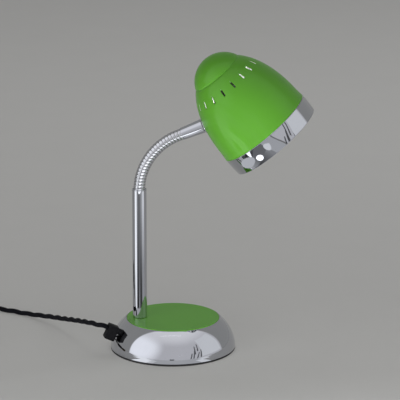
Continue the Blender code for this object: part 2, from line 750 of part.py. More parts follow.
def make_holder(frame, neck_frame):
    """Everything inside the shade, held by the nipple that comes through its wall."""
    thread = NIPPLE_RADIUS + GAP
    tab_start, tab_end = 0.0372, 0.0372 + STRIP_THICK
    to_neck = shade_matrix().inverted() @ hinge_matrix(LINK_COUNT + 1)
    tab_low = to_neck @ Vector((0.0085, 0, tab_start))
    tab_high = to_neck @ Vector((-0.0090, 0, tab_start))
    wall_side = [(tab_low.x, tab_low.z), (tab_high.x, tab_high.z)]
    plate_level = -HOLDER_DEPTH
    corner = (0.0290, plate_level - STRIP_THICK)
    inner_low = to_neck @ Vector((0.0085, 0, tab_end))
    inner_high = to_neck @ Vector((-0.0090, 0, tab_end))
    outline = [
        *wall_side,
        corner,
        (-0.0120, plate_level - STRIP_THICK),
        (-0.0120, plate_level),
        (0.0280, plate_level),
        (inner_high.x, inner_high.z),
        (inner_low.x, inner_low.z),
    ]
    strip_mesh = extruded_mesh("holder_bracket", outline, STRIP_WIDTH / 2)
    strip = add_node("holder_bracket", strip_mesh, "steel", frame)
    subtract(strip, ring_mesh("tab_hole", thread, 0, tab_start - 0.0020, tab_end + 0.0020), neck_frame)
    subtract(strip, ring_mesh("screw_hole", 0.0033, 0, plate_level - 0.0040, plate_level + 0.0040), frame)

    washer = add_node(
        "inner_washer", ring_mesh("inner_washer", 0.0085, thread, 0.0345, tab_start - GAP), "steel", neck_frame
    )
    subtract(washer, solid_bell("inner_bell", WALL + GAP), frame, "INTERSECT")
    nut_start = tab_end + GAP
    nut = nut_mesh("inner_nut", 0.0140, thread, nut_start, nut_start + 0.0035)
    add_node("inner_nut", nut, "steel", neck_frame)

    holder_top = plate_level + GAP
    mouth = holder_top + HOLDER_LENGTH
    socket = BULB_CAP_RADIUS + 0.0006
    body = [
        (0, holder_top),
        (HOLDER_RADIUS - 0.0020, holder_top),
        (HOLDER_RADIUS, holder_top + 0.0030),
        (HOLDER_RADIUS, mouth - 0.0080),
        (HOLDER_RADIUS - 0.0015, mouth),
        (socket, mouth),
        (socket, mouth - 0.0260),
        (0, mouth - 0.0260),
    ]
    add_node("lampholder_body", turned_mesh("lampholder_body", body, TUBE_SIDES, closed=False), "ceramic", frame)
    screw_low = plate_level - STRIP_THICK - GAP
    screw = [
        (0, screw_low - 0.0022),
        (0.0040, screw_low - 0.0022),
        (0.0050, screw_low - 0.0012),
        (0.0050, screw_low),
        (0.0030, screw_low),
        (0.0030, plate_level),
        (0, plate_level),
    ]
    add_node("holder_screw", turned_mesh("holder_screw", screw, SMALL_SIDES, closed=False), "steel", frame)
    contact_start = mouth - 0.0260 + GAP
    contact = ring_mesh("lampholder_contact", 0.0030, 0, contact_start, contact_start + 0.0020, 16)
    add_node("lampholder_contact", contact, "brass", frame)
    cap_start = contact_start + 0.0020 + GAP
    cap = [
        (0, cap_start),
        (0.0030, cap_start),
        (BULB_CAP_RADIUS - 0.0010, cap_start + 0.0030),
        (BULB_CAP_RADIUS, cap_start + 0.0045),
        (BULB_CAP_RADIUS, mouth - 0.0020),
        (0, mouth - 0.0020),
    ]
    add_node("bulb_cap", turned_mesh("bulb_cap", cap, SMALL_SIDES, closed=False), "brass", frame)
    start = mouth - 0.0020 + GAP
    outer = globe_outline(BULB_RADIUS, BULB_CAP_RADIUS - 0.0004)
    inner = globe_outline(BULB_RADIUS - BULB_WALL, BULB_CAP_RADIUS - 0.0004 - BULB_WALL)
    glass = [*outer, (outer[-1][0], start), (inner[-1][0], start), *reversed(inner)]
    add_node("bulb_glass", turned_mesh("bulb_glass", glass, TUBE_SIDES, closed=False), "glass", frame)

    entry = to_neck @ Vector((0, 0, 0.0455))
    beyond = to_neck @ Vector((0, 0, 0.0490))
    lead = [
        to_neck @ Vector((0, 0, 0.0300)),
        to_neck @ Vector((0, 0, 0.0400)),
        entry,
        beyond + Vector((0, 0.0030, -0.0020)),
        (0.0190, 0.0110, -0.0600),
        (0.0160, 0.0125, -0.0690),
    ]
    add_tube("head_lead", lead, LEAD_RADIUS, "black", step=LEAD_STEP, parent=frame)


# ---- cord, switch and plug ----


def make_switch():
    frame = add_frame("switch_frame", Matrix.Translation(SWITCH_CENTRE))
    half_length, half_width = SWITCH_LENGTH / 2, SWITCH_WIDTH / 2
    wall = 0.0018
    lower = add_node(
        "switch_case_lower",
        box_mesh(
            "switch_case_lower",
            (-half_length, -half_width, 0.0001),
            (half_length, half_width, SWITCH_SPLIT - GAP / 2),
            bevel=0.0010,
        ),
        "black",
        frame,
    )
    inner_low = (-half_length + wall, -half_width + wall, wall)
    inner_high = (half_length - wall, half_width - wall, SWITCH_HEIGHT - wall)
    subtract(lower, box_mesh("tray", inner_low, inner_high), frame)
    upper = add_node(
        "switch_case_upper",
        box_mesh(
            "switch_case_upper",
            (-half_length, -half_width, SWITCH_SPLIT + GAP / 2),
            (half_length, half_width, SWITCH_HEIGHT),
            bevel=0.0010,
        ),
        "black",
        frame,
    )
    lid_low = (inner_low[0], inner_low[1], 0.0)
    subtract(upper, box_mesh("lid", lid_low, inner_high), frame)
    slot_half_length = ROCKER_LENGTH / 2 + 0.0014
    slot_half_width = ROCKER_WIDTH / 2 + 0.0005
    slot_low = (-slot_half_length, -slot_half_width, SWITCH_SPLIT)
    slot_high = (slot_half_length, slot_half_width, SWITCH_HEIGHT + 0.0010)
    subtract(upper, box_mesh("slot", slot_low, slot_high), frame)

    pivot = add_frame("rocker_pivot", Matrix.Translation((0, 0, ROCKER_PIVOT)), frame)
    half = ROCKER_LENGTH / 2
    rise = half * sin(ROCKER_LEAN)
    crest = SWITCH_HEIGHT + 0.0012 - ROCKER_PIVOT
    outline = [
        (-half, -0.0010),
        (-half * 0.5, -0.0045),
        (half * 0.5, -0.0045),
        (half, -0.0010),
        (half, crest + rise),
        (0, crest),
        (-half, crest + rise),
    ]
    rocker_mesh = extruded_mesh("switch_rocker", outline, ROCKER_WIDTH / 2)
    rocker = add_node("switch_rocker", rocker_mesh, "black", pivot)
    rocker.matrix_basis = Matrix.Rotation(ROCKER_LEAN, 4, "Y")


def make_plug():
    place = Matrix.Translation(PLUG_START) @ Matrix.Rotation(PLUG_HEADING, 4, "Z")
    frame = add_frame("plug_frame", place)
    sections = [
        (0, 0.0038, 0.0038, 1.0),
        (0.0100, 0.0044, 0.0044, 1.0),
        (0.0200, 0.0060, 0.0055, 0.9),
        (0.0270, 0.0105, 0.0066, 0.7),
        (0.0340, 0.0155, 0.0068, 0.5),
        (PLUG_LENGTH - 0.0010, 0.0175, 0.0068, 0.4),
        (PLUG_LENGTH, 0.0168, 0.0061, 0.4),
    ]
    add_node("plug_body", lofted_mesh("plug_body", sections), "black", frame)
    for name, side in (("plug_pin_left", 1), ("plug_pin_right", -1)):
        pin_place = Matrix.Translation((PLUG_LENGTH + GAP, side * PIN_OFFSET, 0))
        pin_frame = add_frame(name + "_frame", pin_place @ Matrix.Rotation(pi / 2, 4, "Y"), frame)
        pin = ring_mesh(name, PIN_RADIUS, 0, 0, PIN_LENGTH, 16, chamfer=0.0008)
        add_node(name, pin, "brass", pin_frame)


def make_cord():
    matrix = grip_frame_matrix()
    start = matrix @ Vector((0, 0, GRIP_OUTER_FACE + GAP))
    half = SWITCH_LENGTH / 2 + GAP
    entry = SWITCH_CENTRE + Vector((half, 0, SWITCH_CORD_HEIGHT))
    leave = SWITCH_CENTRE + Vector((-half, 0, SWITCH_CORD_HEIGHT))
    add_tube("cord_run", [start, *RUN_POINTS, entry], CORD_RADIUS, "fabric")
    add_tube("cord_bridge", [leave, *BRIDGE_POINTS], CORD_RADIUS, "fabric")
    end = PLUG_START - Vector((cos(PLUG_HEADING), sin(PLUG_HEADING), 0)) * GAP
    add_tube("cord_end", [*END_POINTS, end], CORD_RADIUS, "fabric")

    inner, outer = COIL_MIDDLE - COIL_HALF_WIDTH, COIL_MIDDLE + COIL_HALF_WIDTH
    coil = ring_mesh("cord_coil", outer, inner, 0.0001, COIL_HEIGHT, TURN_SIDES, centre=COIL_CENTRE)
    add_node("cord_coil", coil, "fabric")

    reach = COIL_HALF_WIDTH + 0.0005
    top = COIL_HEIGHT + GAP
    saddle = [
        (-reach - TIE_THICK, 0.0003),
        (-reach, 0.0003),
        (-reach, top),
        (reach, top),
        (reach, 0.0003),
        (reach + TIE_THICK, 0.0003),
        (reach + TIE_THICK, top + TIE_THICK),
        (-reach - TIE_THICK, top + TIE_THICK),
    ]
    turn = Matrix.Translation(COIL_CENTRE) @ Matrix.Rotation(TIE_TURN, 4, "Z")
    frame = add_frame("tie_frame", turn @ Matrix.Translation((COIL_MIDDLE, 0, 0)))
    add_node("coil_tie", extruded_mesh("coil_tie", saddle, TIE_WIDTH / 2), "rubber", frame)


for leftover in list(bpy.data.objects):
    bpy.data.objects.remove(leftover)
MATERIALS = make_materials()
grip_frame = make_base()
make_stem()
make_grip(grip_frame)
make_links()
head_frame = add_frame("head_frame", hinge_matrix(LINK_COUNT + 1))
shade_frame = add_frame("shade_frame", hinge_matrix(LINK_COUNT + 1).inverted() @ shade_matrix(), head_frame)
make_neck_end(head_frame, shade_frame)
make_shade(shade_frame, head_frame)
make_holder(shade_frame, head_frame)
make_switch()
make_plug()
make_cord()
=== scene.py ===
"""A gooseneck desk lamp: chrome dome base, green enamelled plate and shade, black twisted cord.

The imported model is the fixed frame. This script adds the finished surfaces, the cord, the stage and
the camera around it. Everything is in metres, with +Z up, the base's middle at the origin and the
viewer at -Y.
"""

import json
from math import asin, atan2, cos, exp, hypot, pi, radians, sin, sqrt, tan

import bmesh
import bpy
from mathutils import Matrix, Vector


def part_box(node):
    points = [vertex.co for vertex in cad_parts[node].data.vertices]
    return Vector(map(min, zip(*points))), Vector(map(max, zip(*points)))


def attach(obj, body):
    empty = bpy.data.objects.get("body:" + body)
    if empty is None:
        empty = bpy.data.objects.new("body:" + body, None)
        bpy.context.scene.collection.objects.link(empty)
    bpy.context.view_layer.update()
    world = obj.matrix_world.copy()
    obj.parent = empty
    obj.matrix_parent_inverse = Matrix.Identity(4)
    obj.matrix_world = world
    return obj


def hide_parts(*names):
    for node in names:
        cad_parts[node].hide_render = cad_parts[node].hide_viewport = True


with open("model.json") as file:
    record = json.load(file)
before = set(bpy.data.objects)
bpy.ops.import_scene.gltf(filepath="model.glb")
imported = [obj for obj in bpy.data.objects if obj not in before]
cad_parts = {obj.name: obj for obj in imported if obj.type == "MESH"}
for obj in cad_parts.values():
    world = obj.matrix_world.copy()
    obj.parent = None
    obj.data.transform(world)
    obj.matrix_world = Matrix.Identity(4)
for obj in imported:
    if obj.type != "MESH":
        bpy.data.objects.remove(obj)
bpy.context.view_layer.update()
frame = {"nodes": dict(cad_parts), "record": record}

# ---- sizes that the frame gives ----

STEM_LOW, STEM_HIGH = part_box("stem_tube")
STEM_X = (STEM_LOW.x + STEM_HIGH.x) / 2
STEM_RADIUS = 0.0080
PLATE_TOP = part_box("base_top_plate")[1].z
BASE_RADIUS = 0.0700

# ---- the parts' own sizes, the same as the frame's ----

DOME_ARC = 0.0438
DOME_CENTRE = BASE_RADIUS - DOME_ARC
DOME_RIM = 0.0021
DOME_TOP = 0.0350
SHEET = 0.0012
PLATE_RADIUS = 0.0516
FOOT_THICK = 0.0018

LINK_COUNT = 12
LINK_PITCH = 0.006206
LINK_TURN = radians(5.23)
FIRST_HINGE = Vector((STEM_X, 0, STEM_HIGH.z + 0.0004))
NECK_RADIUS = 0.00655
NECK_ARC = LINK_PITCH / 2 / tan(LINK_TURN / 2)
NECK_LENGTH = NECK_ARC * LINK_TURN * (LINK_COUNT + 1)
NECK_START = FIRST_HINGE - Vector((0, 0, LINK_PITCH / 2))
FERRULE_START = 0.0085
FERRULE_END = 0.0332
WINDING_PITCH = 0.00374
WINDING_DEPTH = 0.00050

SHADE_ORIGIN = Vector((0.1007, 0, 0.2537))
SHADE_TILT = radians(49.65)
BELL_RADIUS = 0.0544
BELL_LENGTH = 0.0943
BELL_POWER = 2.3
FLARE = 0.0008
FLARE_LENGTH = 0.0100
CREASE_DEPTH = 0.0803
CROWN_DEPTH = 0.1004
GROOVE_DEPTH = 0.00065
GROOVE_HALF_WIDTH = 0.00070
BAND_LENGTH = 0.0203
BAND_RADIUS = BELL_RADIUS + FLARE
BAND_LIP_RADIUS = 0.0546
VENT_COUNT = 18
VENT_DEPTH = 0.0657
VENT_LENGTH = 0.0078
VENT_WIDTH = 0.0020
VENT_PHASE = radians(15)
HOLDER_DEPTH = 0.0740
HOLDER_RADIUS = 0.0140
HOLDER_LENGTH = 0.0440
BULB_RADIUS = 0.0225
BULB_DEPTH = 0.0080
BULB_CAP_RADIUS = 0.0070

GRIP_TURN = radians(20)
GRIP_HEIGHT = 0.0244
GRIP_AXIS_TURN = radians(13)
GRIP_AXIS_RISE = radians(25)
GRIP_INNER_FACE = 0.0033
GRIP_OUTER_FACE = 0.0151
GRIP_HALF_WIDTH = 0.0054
GRIP_HALF_HEIGHT = 0.0084
GRIP_BORE_OFFSET = 0.0036
GRIP_STEM_RADIUS = 0.0036
GRIP_STEM_BORE = 0.0027

CORD_RADIUS = 0.0030
STRAND_COUNT = 3
STRAND_RADIUS = CORD_RADIUS / (1 + 2 / sqrt(3))
CORD_LAY = 0.0570
CORD_REST = 0.0031
CORD_STEP = 0.0020
GAP = 0.0003
RUN_POINTS = [
    (-0.0750, -0.0252, 0.0322),
    (-0.0796, -0.0238, 0.0330),
    (-0.0842, -0.0194, 0.0325),
    (-0.0888, -0.0130, 0.0317),
    (-0.0938, -0.0056, 0.0303),
    (-0.1000, 0.0060, 0.0277),
    (-0.1064, 0.0190, 0.0245),
    (-0.1156, 0.0368, 0.0201),
    (-0.1250, 0.0552, 0.0153),
    (-0.1344, 0.0718, 0.0113),
    (-0.1438, 0.0860, 0.0080),
    (-0.1590, 0.1018, 0.0048),
    (-0.1746, 0.1138, CORD_REST),
    (-0.1904, 0.1230, CORD_REST),
    (-0.2050, 0.1310, CORD_REST),
    (-0.2160, 0.1376, 0.0044),
    (-0.2250, 0.1430, 0.0069),
    (-0.2325, 0.1460, 0.0078),
]
SWITCH_CENTRE = Vector((-0.2660, 0.1460, 0))
SWITCH_LENGTH = 0.0560
SWITCH_WIDTH = 0.0240
SWITCH_HEIGHT = 0.0150
SWITCH_SPLIT = 0.0078
ROCKER_LENGTH = 0.0168
ROCKER_WIDTH = 0.0090
ROCKER_LEAN = radians(8)
ROCKER_PIVOT = 0.0110
BRIDGE_POINTS = [
    (-0.2995, 0.1460, 0.0078),
    (-0.3075, 0.1440, 0.0060),
    (-0.3160, 0.1395, 0.0043),
    (-0.3245, 0.1310, 0.0033),
    (-0.3300, 0.1195, 0.0031),
    (-0.3318, 0.1000, 0.0031),
]
COIL_CENTRE = Vector((-0.2920, 0.0750, 0))
COIL_MIDDLE = 0.0340
COIL_HALF_WIDTH = 0.0093
COIL_HEIGHT = 0.0166
TIE_TURN = radians(40)
END_POINTS = [
    (-0.3140, 0.0340, 0.0090),
    (-0.3110, 0.0250, 0.0068),
    (-0.3065, 0.0150, 0.0050),
    (-0.3000, 0.0075, 0.0048),
    (-0.2880, 0.0030, 0.0060),
]
PLUG_START = Vector((-0.2780, 0.0012, 0.0070))
PLUG_HEADING = radians(-8)
PLUG_LENGTH = 0.0500
PIN_OFFSET = 0.0093

ROUND = 192
MEDIUM_ROUND = 96
SMALL_ROUND = 48
CREASE_ANGLE = radians(38)


def ease(share):
    """Goes from 0 to 1 with a level start and end."""
    return share * share * (3 - 2 * share)


# ---- meshes ----


def finish_mesh(bm, name):
    """The bmesh as a smooth shaded mesh that keeps its sharp corners."""
    bmesh.ops.recalc_face_normals(bm, faces=bm.faces)
    mesh = bpy.data.meshes.new(name)
    bm.to_mesh(mesh)
    bm.free()
    mesh.shade_smooth()
    mesh.set_sharp_from_angle(angle=CREASE_ANGLE)
    return mesh


def rounded(corners, steps=5):
    """(radius, height) points of an outline. A third number in a corner rounds it off by that much,
    and each round has a point just outside it that keeps the straight runs flat when shaded."""
    points = []
    count = len(corners)
    for k, corner in enumerate(corners):
        here = Vector(corner[:2])
        if len(corner) < 3:
            points.append(here)
            continue
        before = (Vector(corners[k - 1][:2]) - here).normalized()
        after = (Vector(corners[(k + 1) % count][:2]) - here).normalized()
        half = before.angle(after) / 2
        radius = corner[2]
        reach = radius / tan(half)
        centre = here + (before + after).normalized() * radius / sin(half)
        start, end = here + before * reach, here + after * reach
        points.append(start + before * radius * 0.3)
        for step in range(steps + 1):
            spoke = (start - centre).normalized().slerp((end - centre).normalized(), step / steps)
            points.append(centre + spoke * radius)
        points.append(end + after * radius * 0.3)
    return [(p.x, p.y) for p in points]


def circle(bm, radius, height, sides, first_turn=0.0):
    """A level ring of points about the Z axis. On the axis it is one point, repeated."""
    if radius < 1e-6:
        return [bm.verts.new((0, 0, height))] * sides
    turns = [first_turn + 2 * pi * k / sides for k in range(sides)]
    return [bm.verts.new((radius * cos(t), radius * sin(t), height)) for t in turns]


def bridge(bm, low, high):
    """The faces between two rings, which are triangles where one ring is a single point."""
    faces = []
    for k in range(len(low)):
        after = (k + 1) % len(low)
        corners = dict.fromkeys((low[k], low[after], high[after], high[k]))
        if len(corners) > 2:
            faces.append(bm.faces.new(corners))
    return faces


def turned(name, profile, sides=ROUND, closed=True):
    """Turns (radius, height) points about the Z axis."""
    bm = bmesh.new()
    rings = [circle(bm, radius, height, sides) for radius, height in profile]
    pairs = list(zip(rings, rings[1:]))
    if closed:
        pairs.append((rings[-1], rings[0]))
    for low, high in pairs:
        bridge(bm, low, high)
    return finish_mesh(bm, name)


def lofted(name, sections, sides):
    """A body along +X through sections of (x, half width, half height, squareness, centre height)."""
    bm = bmesh.new()
    rings = []
    for x, half_width, half_height, squareness, centre in sections:
        exponent = 2 / squareness
        ring = []
        for k in range(sides):
            turn = 2 * pi * k / sides
            c, s = cos(turn), sin(turn)
            y = half_width * abs(c) ** exponent * (1 if c >= 0 else -1)
            z = half_height * abs(s) ** exponent * (1 if s >= 0 else -1)
            ring.append(bm.verts.new((x, y, centre + z)))
        rings.append(ring)
    for low, high in zip(rings, rings[1:]):
        bridge(bm, low, high)
    bm.faces.new(rings[0])
    bm.faces.new(rings[-1])
    return finish_mesh(bm, name)


def rounded_box(name, low, high, bevel, segments=4):
    bm = bmesh.new()
    low, high = Vector(low), Vector(high)
    size = Matrix.Diagonal((*(high - low), 1))
    bmesh.ops.create_cube(bm, size=1, matrix=Matrix.Translation((low + high) / 2) @ size)
    bmesh.ops.bevel(bm, geom=bm.edges, offset=bevel, segments=segments, profile=0.5, affect="EDGES")
    return finish_mesh(bm, name)


def extruded(name, outline, half_width, bevel):
    """An (x, z) outline given a width along Y, with its edges rounded."""
    bm = bmesh.new()
    near = [bm.verts.new((x, -half_width, z)) for x, z in outline]
    far = [bm.verts.new((x, half_width, z)) for x, z in outline]
    bm.faces.new(near)
    bm.faces.new(far)
    bridge(bm, near, far)
    bmesh.ops.bevel(bm, geom=bm.edges, offset=bevel, segments=3, profile=0.5, affect="EDGES")
    return finish_mesh(bm, name)


def apply_modifiers(piece):
    graph = bpy.context.evaluated_depsgraph_get()
    graph.update()
    mesh = bpy.data.meshes.new_from_object(piece.evaluated_get(graph))
    piece.modifiers.clear()
    piece.data = mesh


def slice_off(bm, place, outward):
    """Removes what lies beyond a plane, on the side that the outward direction points to."""
    everything = [*bm.verts, *bm.edges, *bm.faces]
    bmesh.ops.bisect_plane(
        bm, geom=everything, dist=1e-7, plane_co=place, plane_no=outward, clear_outer=True
    )


def add_object(name, mesh, matrix=None):
    """An object at the origin, whose mesh is moved to its place."""
    if matrix is not None:
        mesh.transform(matrix)
    piece = bpy.data.objects.new(name, mesh)
    bpy.context.scene.collection.objects.link(piece)
    return piece


def cut(mesh, cutter_mesh, matrix=None):
    """The mesh with another one cut out of it."""
    piece, cutter = add_object("cut_piece", mesh), add_object("cutter", cutter_mesh)
    if matrix is not None:
        cutter.matrix_world = matrix
    boolean = piece.modifiers.new("cut", "BOOLEAN")
    boolean.solver = "EXACT"
    boolean.operation = "DIFFERENCE"
    boolean.object = cutter
    apply_modifiers(piece)
    mesh = piece.data
    for helper in (piece, cutter):
        bpy.data.objects.remove(helper)
    mesh.shade_smooth()
    mesh.set_sharp_from_angle(angle=CREASE_ANGLE)
    return mesh


def add_piece(name, mesh, slot, body="base", replaces=(), matrix=None):
    """A finished piece that rides on a body, in that slot's finish, in place of these CAD nodes."""
    piece = add_object(name, mesh, matrix)
    piece.data.materials.clear()
    piece.data.materials.append(FINISHES[slot])
    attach(piece, body)
    if replaces:
        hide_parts(*replaces)
    return piece


def add_turned(name, profile, slot, body="base", replaces=(), matrix=None, sides=ROUND, closed=True):
    return add_piece(name, turned(name, profile, sides, closed), slot, body, replaces, matrix)


# ---- materials ----


class Nodes:
    """Short calls for adding nodes to a material's or the world's tree."""

    def __init__(self, tree):
        self.tree = tree

    def node(self, kind, **settings):
        node = self.tree.nodes.new(kind)
        for label, value in settings.items():
            setattr(node, label, value)
        return node

    def link(self, output, socket):
        self.tree.links.new(output, socket)

    def between(self, factor, low, high, start=0.3, end=0.7, **settings):
        """A number that goes from low to high as the factor goes from start to end."""
        node = self.node("ShaderNodeMapRange", **settings)
        self.link(factor, node.inputs["Value"])
        for label, value in (("From Min", start), ("From Max", end), ("To Min", low), ("To Max", high)):
            node.inputs[label].default_value = value
        return node.outputs["Result"]

    def mix(self, factor, low, high):
        """A colour between two others, each of them three numbers or a node's output."""
        node = self.node("ShaderNodeMix", data_type="RGBA")
        self.link(factor, node.inputs["Factor"])
        for value, socket in ((low, node.inputs[6]), (high, node.inputs[7])):
            if isinstance(value, bpy.types.NodeSocket):
                self.link(value, socket)
            else:
                socket.default_value = (*value, 1)
        return node.outputs[2]


class Finish(Nodes):
    """A Principled material and the procedural nodes that feed it."""

    def __init__(self, name, **values):
        self.material = bpy.data.materials.new(name)
        self.material.use_nodes = True
        super().__init__(self.material.node_tree)
        self.shader = self.tree.nodes["Principled BSDF"]
        self.place = self.node("ShaderNodeTexCoord").outputs["Object"]
        for label, value in values.items():
            self.shader.inputs[label.replace("_", " ")].default_value = value

    def noise(self, scale, detail=3.0, roughness=0.5):
        """Noise of that many cells to the metre, in the object's own space."""
        node = self.node("ShaderNodeTexNoise")
        for label, value in (("Scale", scale), ("Detail", detail), ("Roughness", roughness)):
            node.inputs[label].default_value = value
        self.link(self.place, node.inputs["Vector"])
        return node.outputs["Fac"]

    def math(self, operation, *values):
        node = self.node("ShaderNodeMath", operation=operation)
        for value, socket in zip(values, node.inputs):
            if isinstance(value, bpy.types.NodeSocket):
                self.link(value, socket)
            else:
                socket.default_value = value
        return node.outputs["Value"]

    def bump(self, height, distance, over=None):
        node = self.node("ShaderNodeBump")
        node.inputs["Distance"].default_value = distance
        node.inputs["Strength"].default_value = 1.0
        self.link(height, node.inputs["Height"])
        if over is not None:
            self.link(over, node.inputs["Normal"])
        return node.outputs["Normal"]

    def set(self, label, output):
        self.link(output, self.shader.inputs[label])


def scaled(colour, factor):
    return tuple(min(1.0, c * factor) for c in colour)


def plain_finish(name, colour, roughness, grain, depth, variation=0.12, **values):
    """A material whose colour and roughness drift a little, over a fine grain."""
    finish = Finish(name, **values)
    patches = finish.noise(90, 4)
    light, dark = scaled(colour, 1 + variation), scaled(colour, 1 - variation)
    finish.set("Base Color", finish.mix(patches, dark, light))
    finish.set("Roughness", finish.between(finish.noise(240, 5), roughness * 0.85, roughness * 1.2))
    finish.set("Normal", finish.bump(finish.noise(grain, 3), depth))
    return finish.material


def chrome_finish(name, colour, roughness, ripple):
    """Mirror plating: hardly any haze, a slow ripple and the finest polishing marks."""
    finish = Finish(name, Metallic=1.0)
    haze = finish.noise(55, 5)
    finish.set("Base Color", finish.mix(haze, scaled(colour, 0.965), scaled(colour, 1.035)))
    marks = finish.noise(900, 6, roughness=0.7)
    finish.set("Roughness", finish.between(marks, roughness * 0.7, roughness * 1.6))
    slow = finish.bump(finish.noise(28, 1), ripple)
    finish.set("Normal", finish.bump(finish.noise(2600, 4), 0.0000015, over=slow))
    return finish.material


def winding_finish(name, colour):
    """Satin plating on the neck's ridges, with painted shade darkening the grooves between them."""
    finish = Finish(name, Metallic=1.0)
    place = finish.node("ShaderNodeAttribute", attribute_name="groove").outputs["Fac"]
    tone = finish.mix(finish.noise(300, 4), scaled(colour, 0.94), scaled(colour, 1.05))
    # Painted shade: the plating's colour drops to 0.45 of itself towards the bottom of each groove.
    depth = finish.between(place, 0, 1, 0.75, 1.0)
    finish.set("Base Color", finish.mix(depth, tone, scaled(colour, 0.45)))
    finish.set("Roughness", finish.between(finish.noise(900, 5), 0.06, 0.12))
    finish.set("Normal", finish.bump(finish.noise(2600, 4), 0.0000015))
    return finish.material


def enamel_finish(name, colour):
    """Glossy stoved enamel: a clear coat with a little orange peel over a slightly uneven colour."""
    finish = Finish(
        name, Roughness=0.5, Specular_IOR_Level=0.1, Coat_Weight=0.5, Coat_Roughness=0.13, Coat_IOR=1.5
    )
    drift = finish.mix(finish.noise(26, 3), scaled(colour, 0.955), scaled(colour, 1.045))
    speck = finish.between(finish.noise(1700, 2), 0.0, 1.0, 0.66, 0.74)
    finish.set("Base Color", finish.mix(speck, drift, scaled(colour, 0.86)))
    peel = finish.bump(finish.noise(420, 2), 0.000022)
    finish.set("Normal", peel)
    finish.set("Coat Normal", peel)
    return finish.material


def braid_finish(name, colour):
    """Braided textile sleeve: crossing diagonal picks laid out along the strand's own UV map, with a painted
    highlight on their crests and painted shade in the hollows between them.
    """
    finish = Finish(name, Specular_IOR_Level=0.12, Sheen_Weight=0.02, Sheen_Roughness=0.4)
    place = finish.node("ShaderNodeUVMap", uv_map="strand").outputs["UV"]
    parts = finish.node("ShaderNodeSeparateXYZ")
    finish.link(place, parts.inputs["Vector"])
    along, around = parts.outputs["X"], parts.outputs["Y"]
    picks = 6.0
    waves = []
    for lean in (1, -1):
        phase = finish.math("MULTIPLY_ADD", along, lean, around)
        turn = finish.math("MULTIPLY", phase, 2 * pi * picks)
        waves.append(finish.math("ABSOLUTE", finish.math("SINE", turn)))
    weave = finish.math("MAXIMUM", *waves)
    fuzz = finish.noise(5200, 4)
    crest = finish.between(weave, 0, 1, 0.45, 1)
    # Painted highlight and painted shade: the yarn's colour runs from 0.45 of itself in the weave's hollows
    # to 1.5 times it on the crests.
    finish.set("Base Color", finish.mix(crest, scaled(colour, 0.45), scaled(colour, 1.5)))
    finish.set("Roughness", finish.between(fuzz, 0.62, 0.86))
    deep = finish.bump(weave, 0.00022)
    finish.set("Normal", finish.bump(fuzz, 0.00006, over=deep))
    return finish.material


def glass_finish(name):
    """A frosted lamp bulb: milky, slightly uneven coating inside clear glass."""
    milk = {"Subsurface_Weight": 0.35, "Subsurface_Radius": (0.004, 0.004, 0.004)}
    finish = Finish(name, Roughness=0.3, IOR=1.45, Coat_Weight=0.6, Coat_Roughness=0.04, **milk)
    finish.set("Base Color", finish.mix(finish.noise(60, 3), (0.80, 0.80, 0.78), (0.90, 0.90, 0.88)))
    finish.set("Normal", finish.bump(finish.noise(300, 2), 0.00001))
    return finish.material


CHROME = (0.575, 0.585, 0.625)
GREEN = (0.135, 0.470, 0.030)
BLACK = (0.0045, 0.0045, 0.0060)
BRASS = (0.72, 0.52, 0.22)
FINISHES = {
    "chrome": chrome_finish("chrome_plating", CHROME, 0.035, 0.00006),
    "steel": chrome_finish("polished_steel", (0.60, 0.60, 0.61), 0.16, 0.00003),
    "iron": plain_finish("cast_iron", (0.030, 0.030, 0.032), 0.75, 700, 0.0002),
    "enamel": enamel_finish("green_enamel", GREEN),
    "brass": plain_finish("brass_plating", BRASS, 0.22, 1500, 0.00001, 0.06, Metallic=1.0),
    "black": plain_finish("black_moulding", BLACK, 0.55, 1800, 0.00002, Specular_IOR_Level=0.18),
    "rubber": plain_finish("black_rubber", (0.020, 0.020, 0.021), 0.70, 1400, 0.00003),
    "fabric": braid_finish("braided_sleeve", (0.0060, 0.0062, 0.0090)),
    "wire": plain_finish("wire_insulation", (0.020, 0.020, 0.022), 0.5, 900, 0.00002),
    "ceramic": plain_finish("holder_moulding", (0.012, 0.011, 0.010), 0.4, 500, 0.00001, 0.03),
    "glass": glass_finish("frosted_glass"),
}
NECK_PLATING = winding_finish("neck_plating", (0.60, 0.605, 0.635))
INNER_WHITE = plain_finish("inner_white_enamel", (0.84, 0.87, 0.82), 0.35, 420, 0.00002, 0.03)


def finish_frame_nodes():
    """Every CAD node that stays in sight gets its slot's finish."""
    for row in frame["record"]["subparts"]:
        node = frame["nodes"][row["node"]]
        for place in node.material_slots:
            place.material = FINISHES[row["material_slot"]]


# ---- base ----


def dome_radius(height):
    return DOME_CENTRE + sqrt(DOME_ARC**2 - height**2)


def arc_points(centre, radius, start, end, count):
    """(radius, height) points on a circle about (centre, 0), from one elevation to another."""
    turns = [start + (end - start) * k / (count - 1) for k in range(count)]
    return [(centre + radius * cos(t), radius * sin(t)) for t in turns]


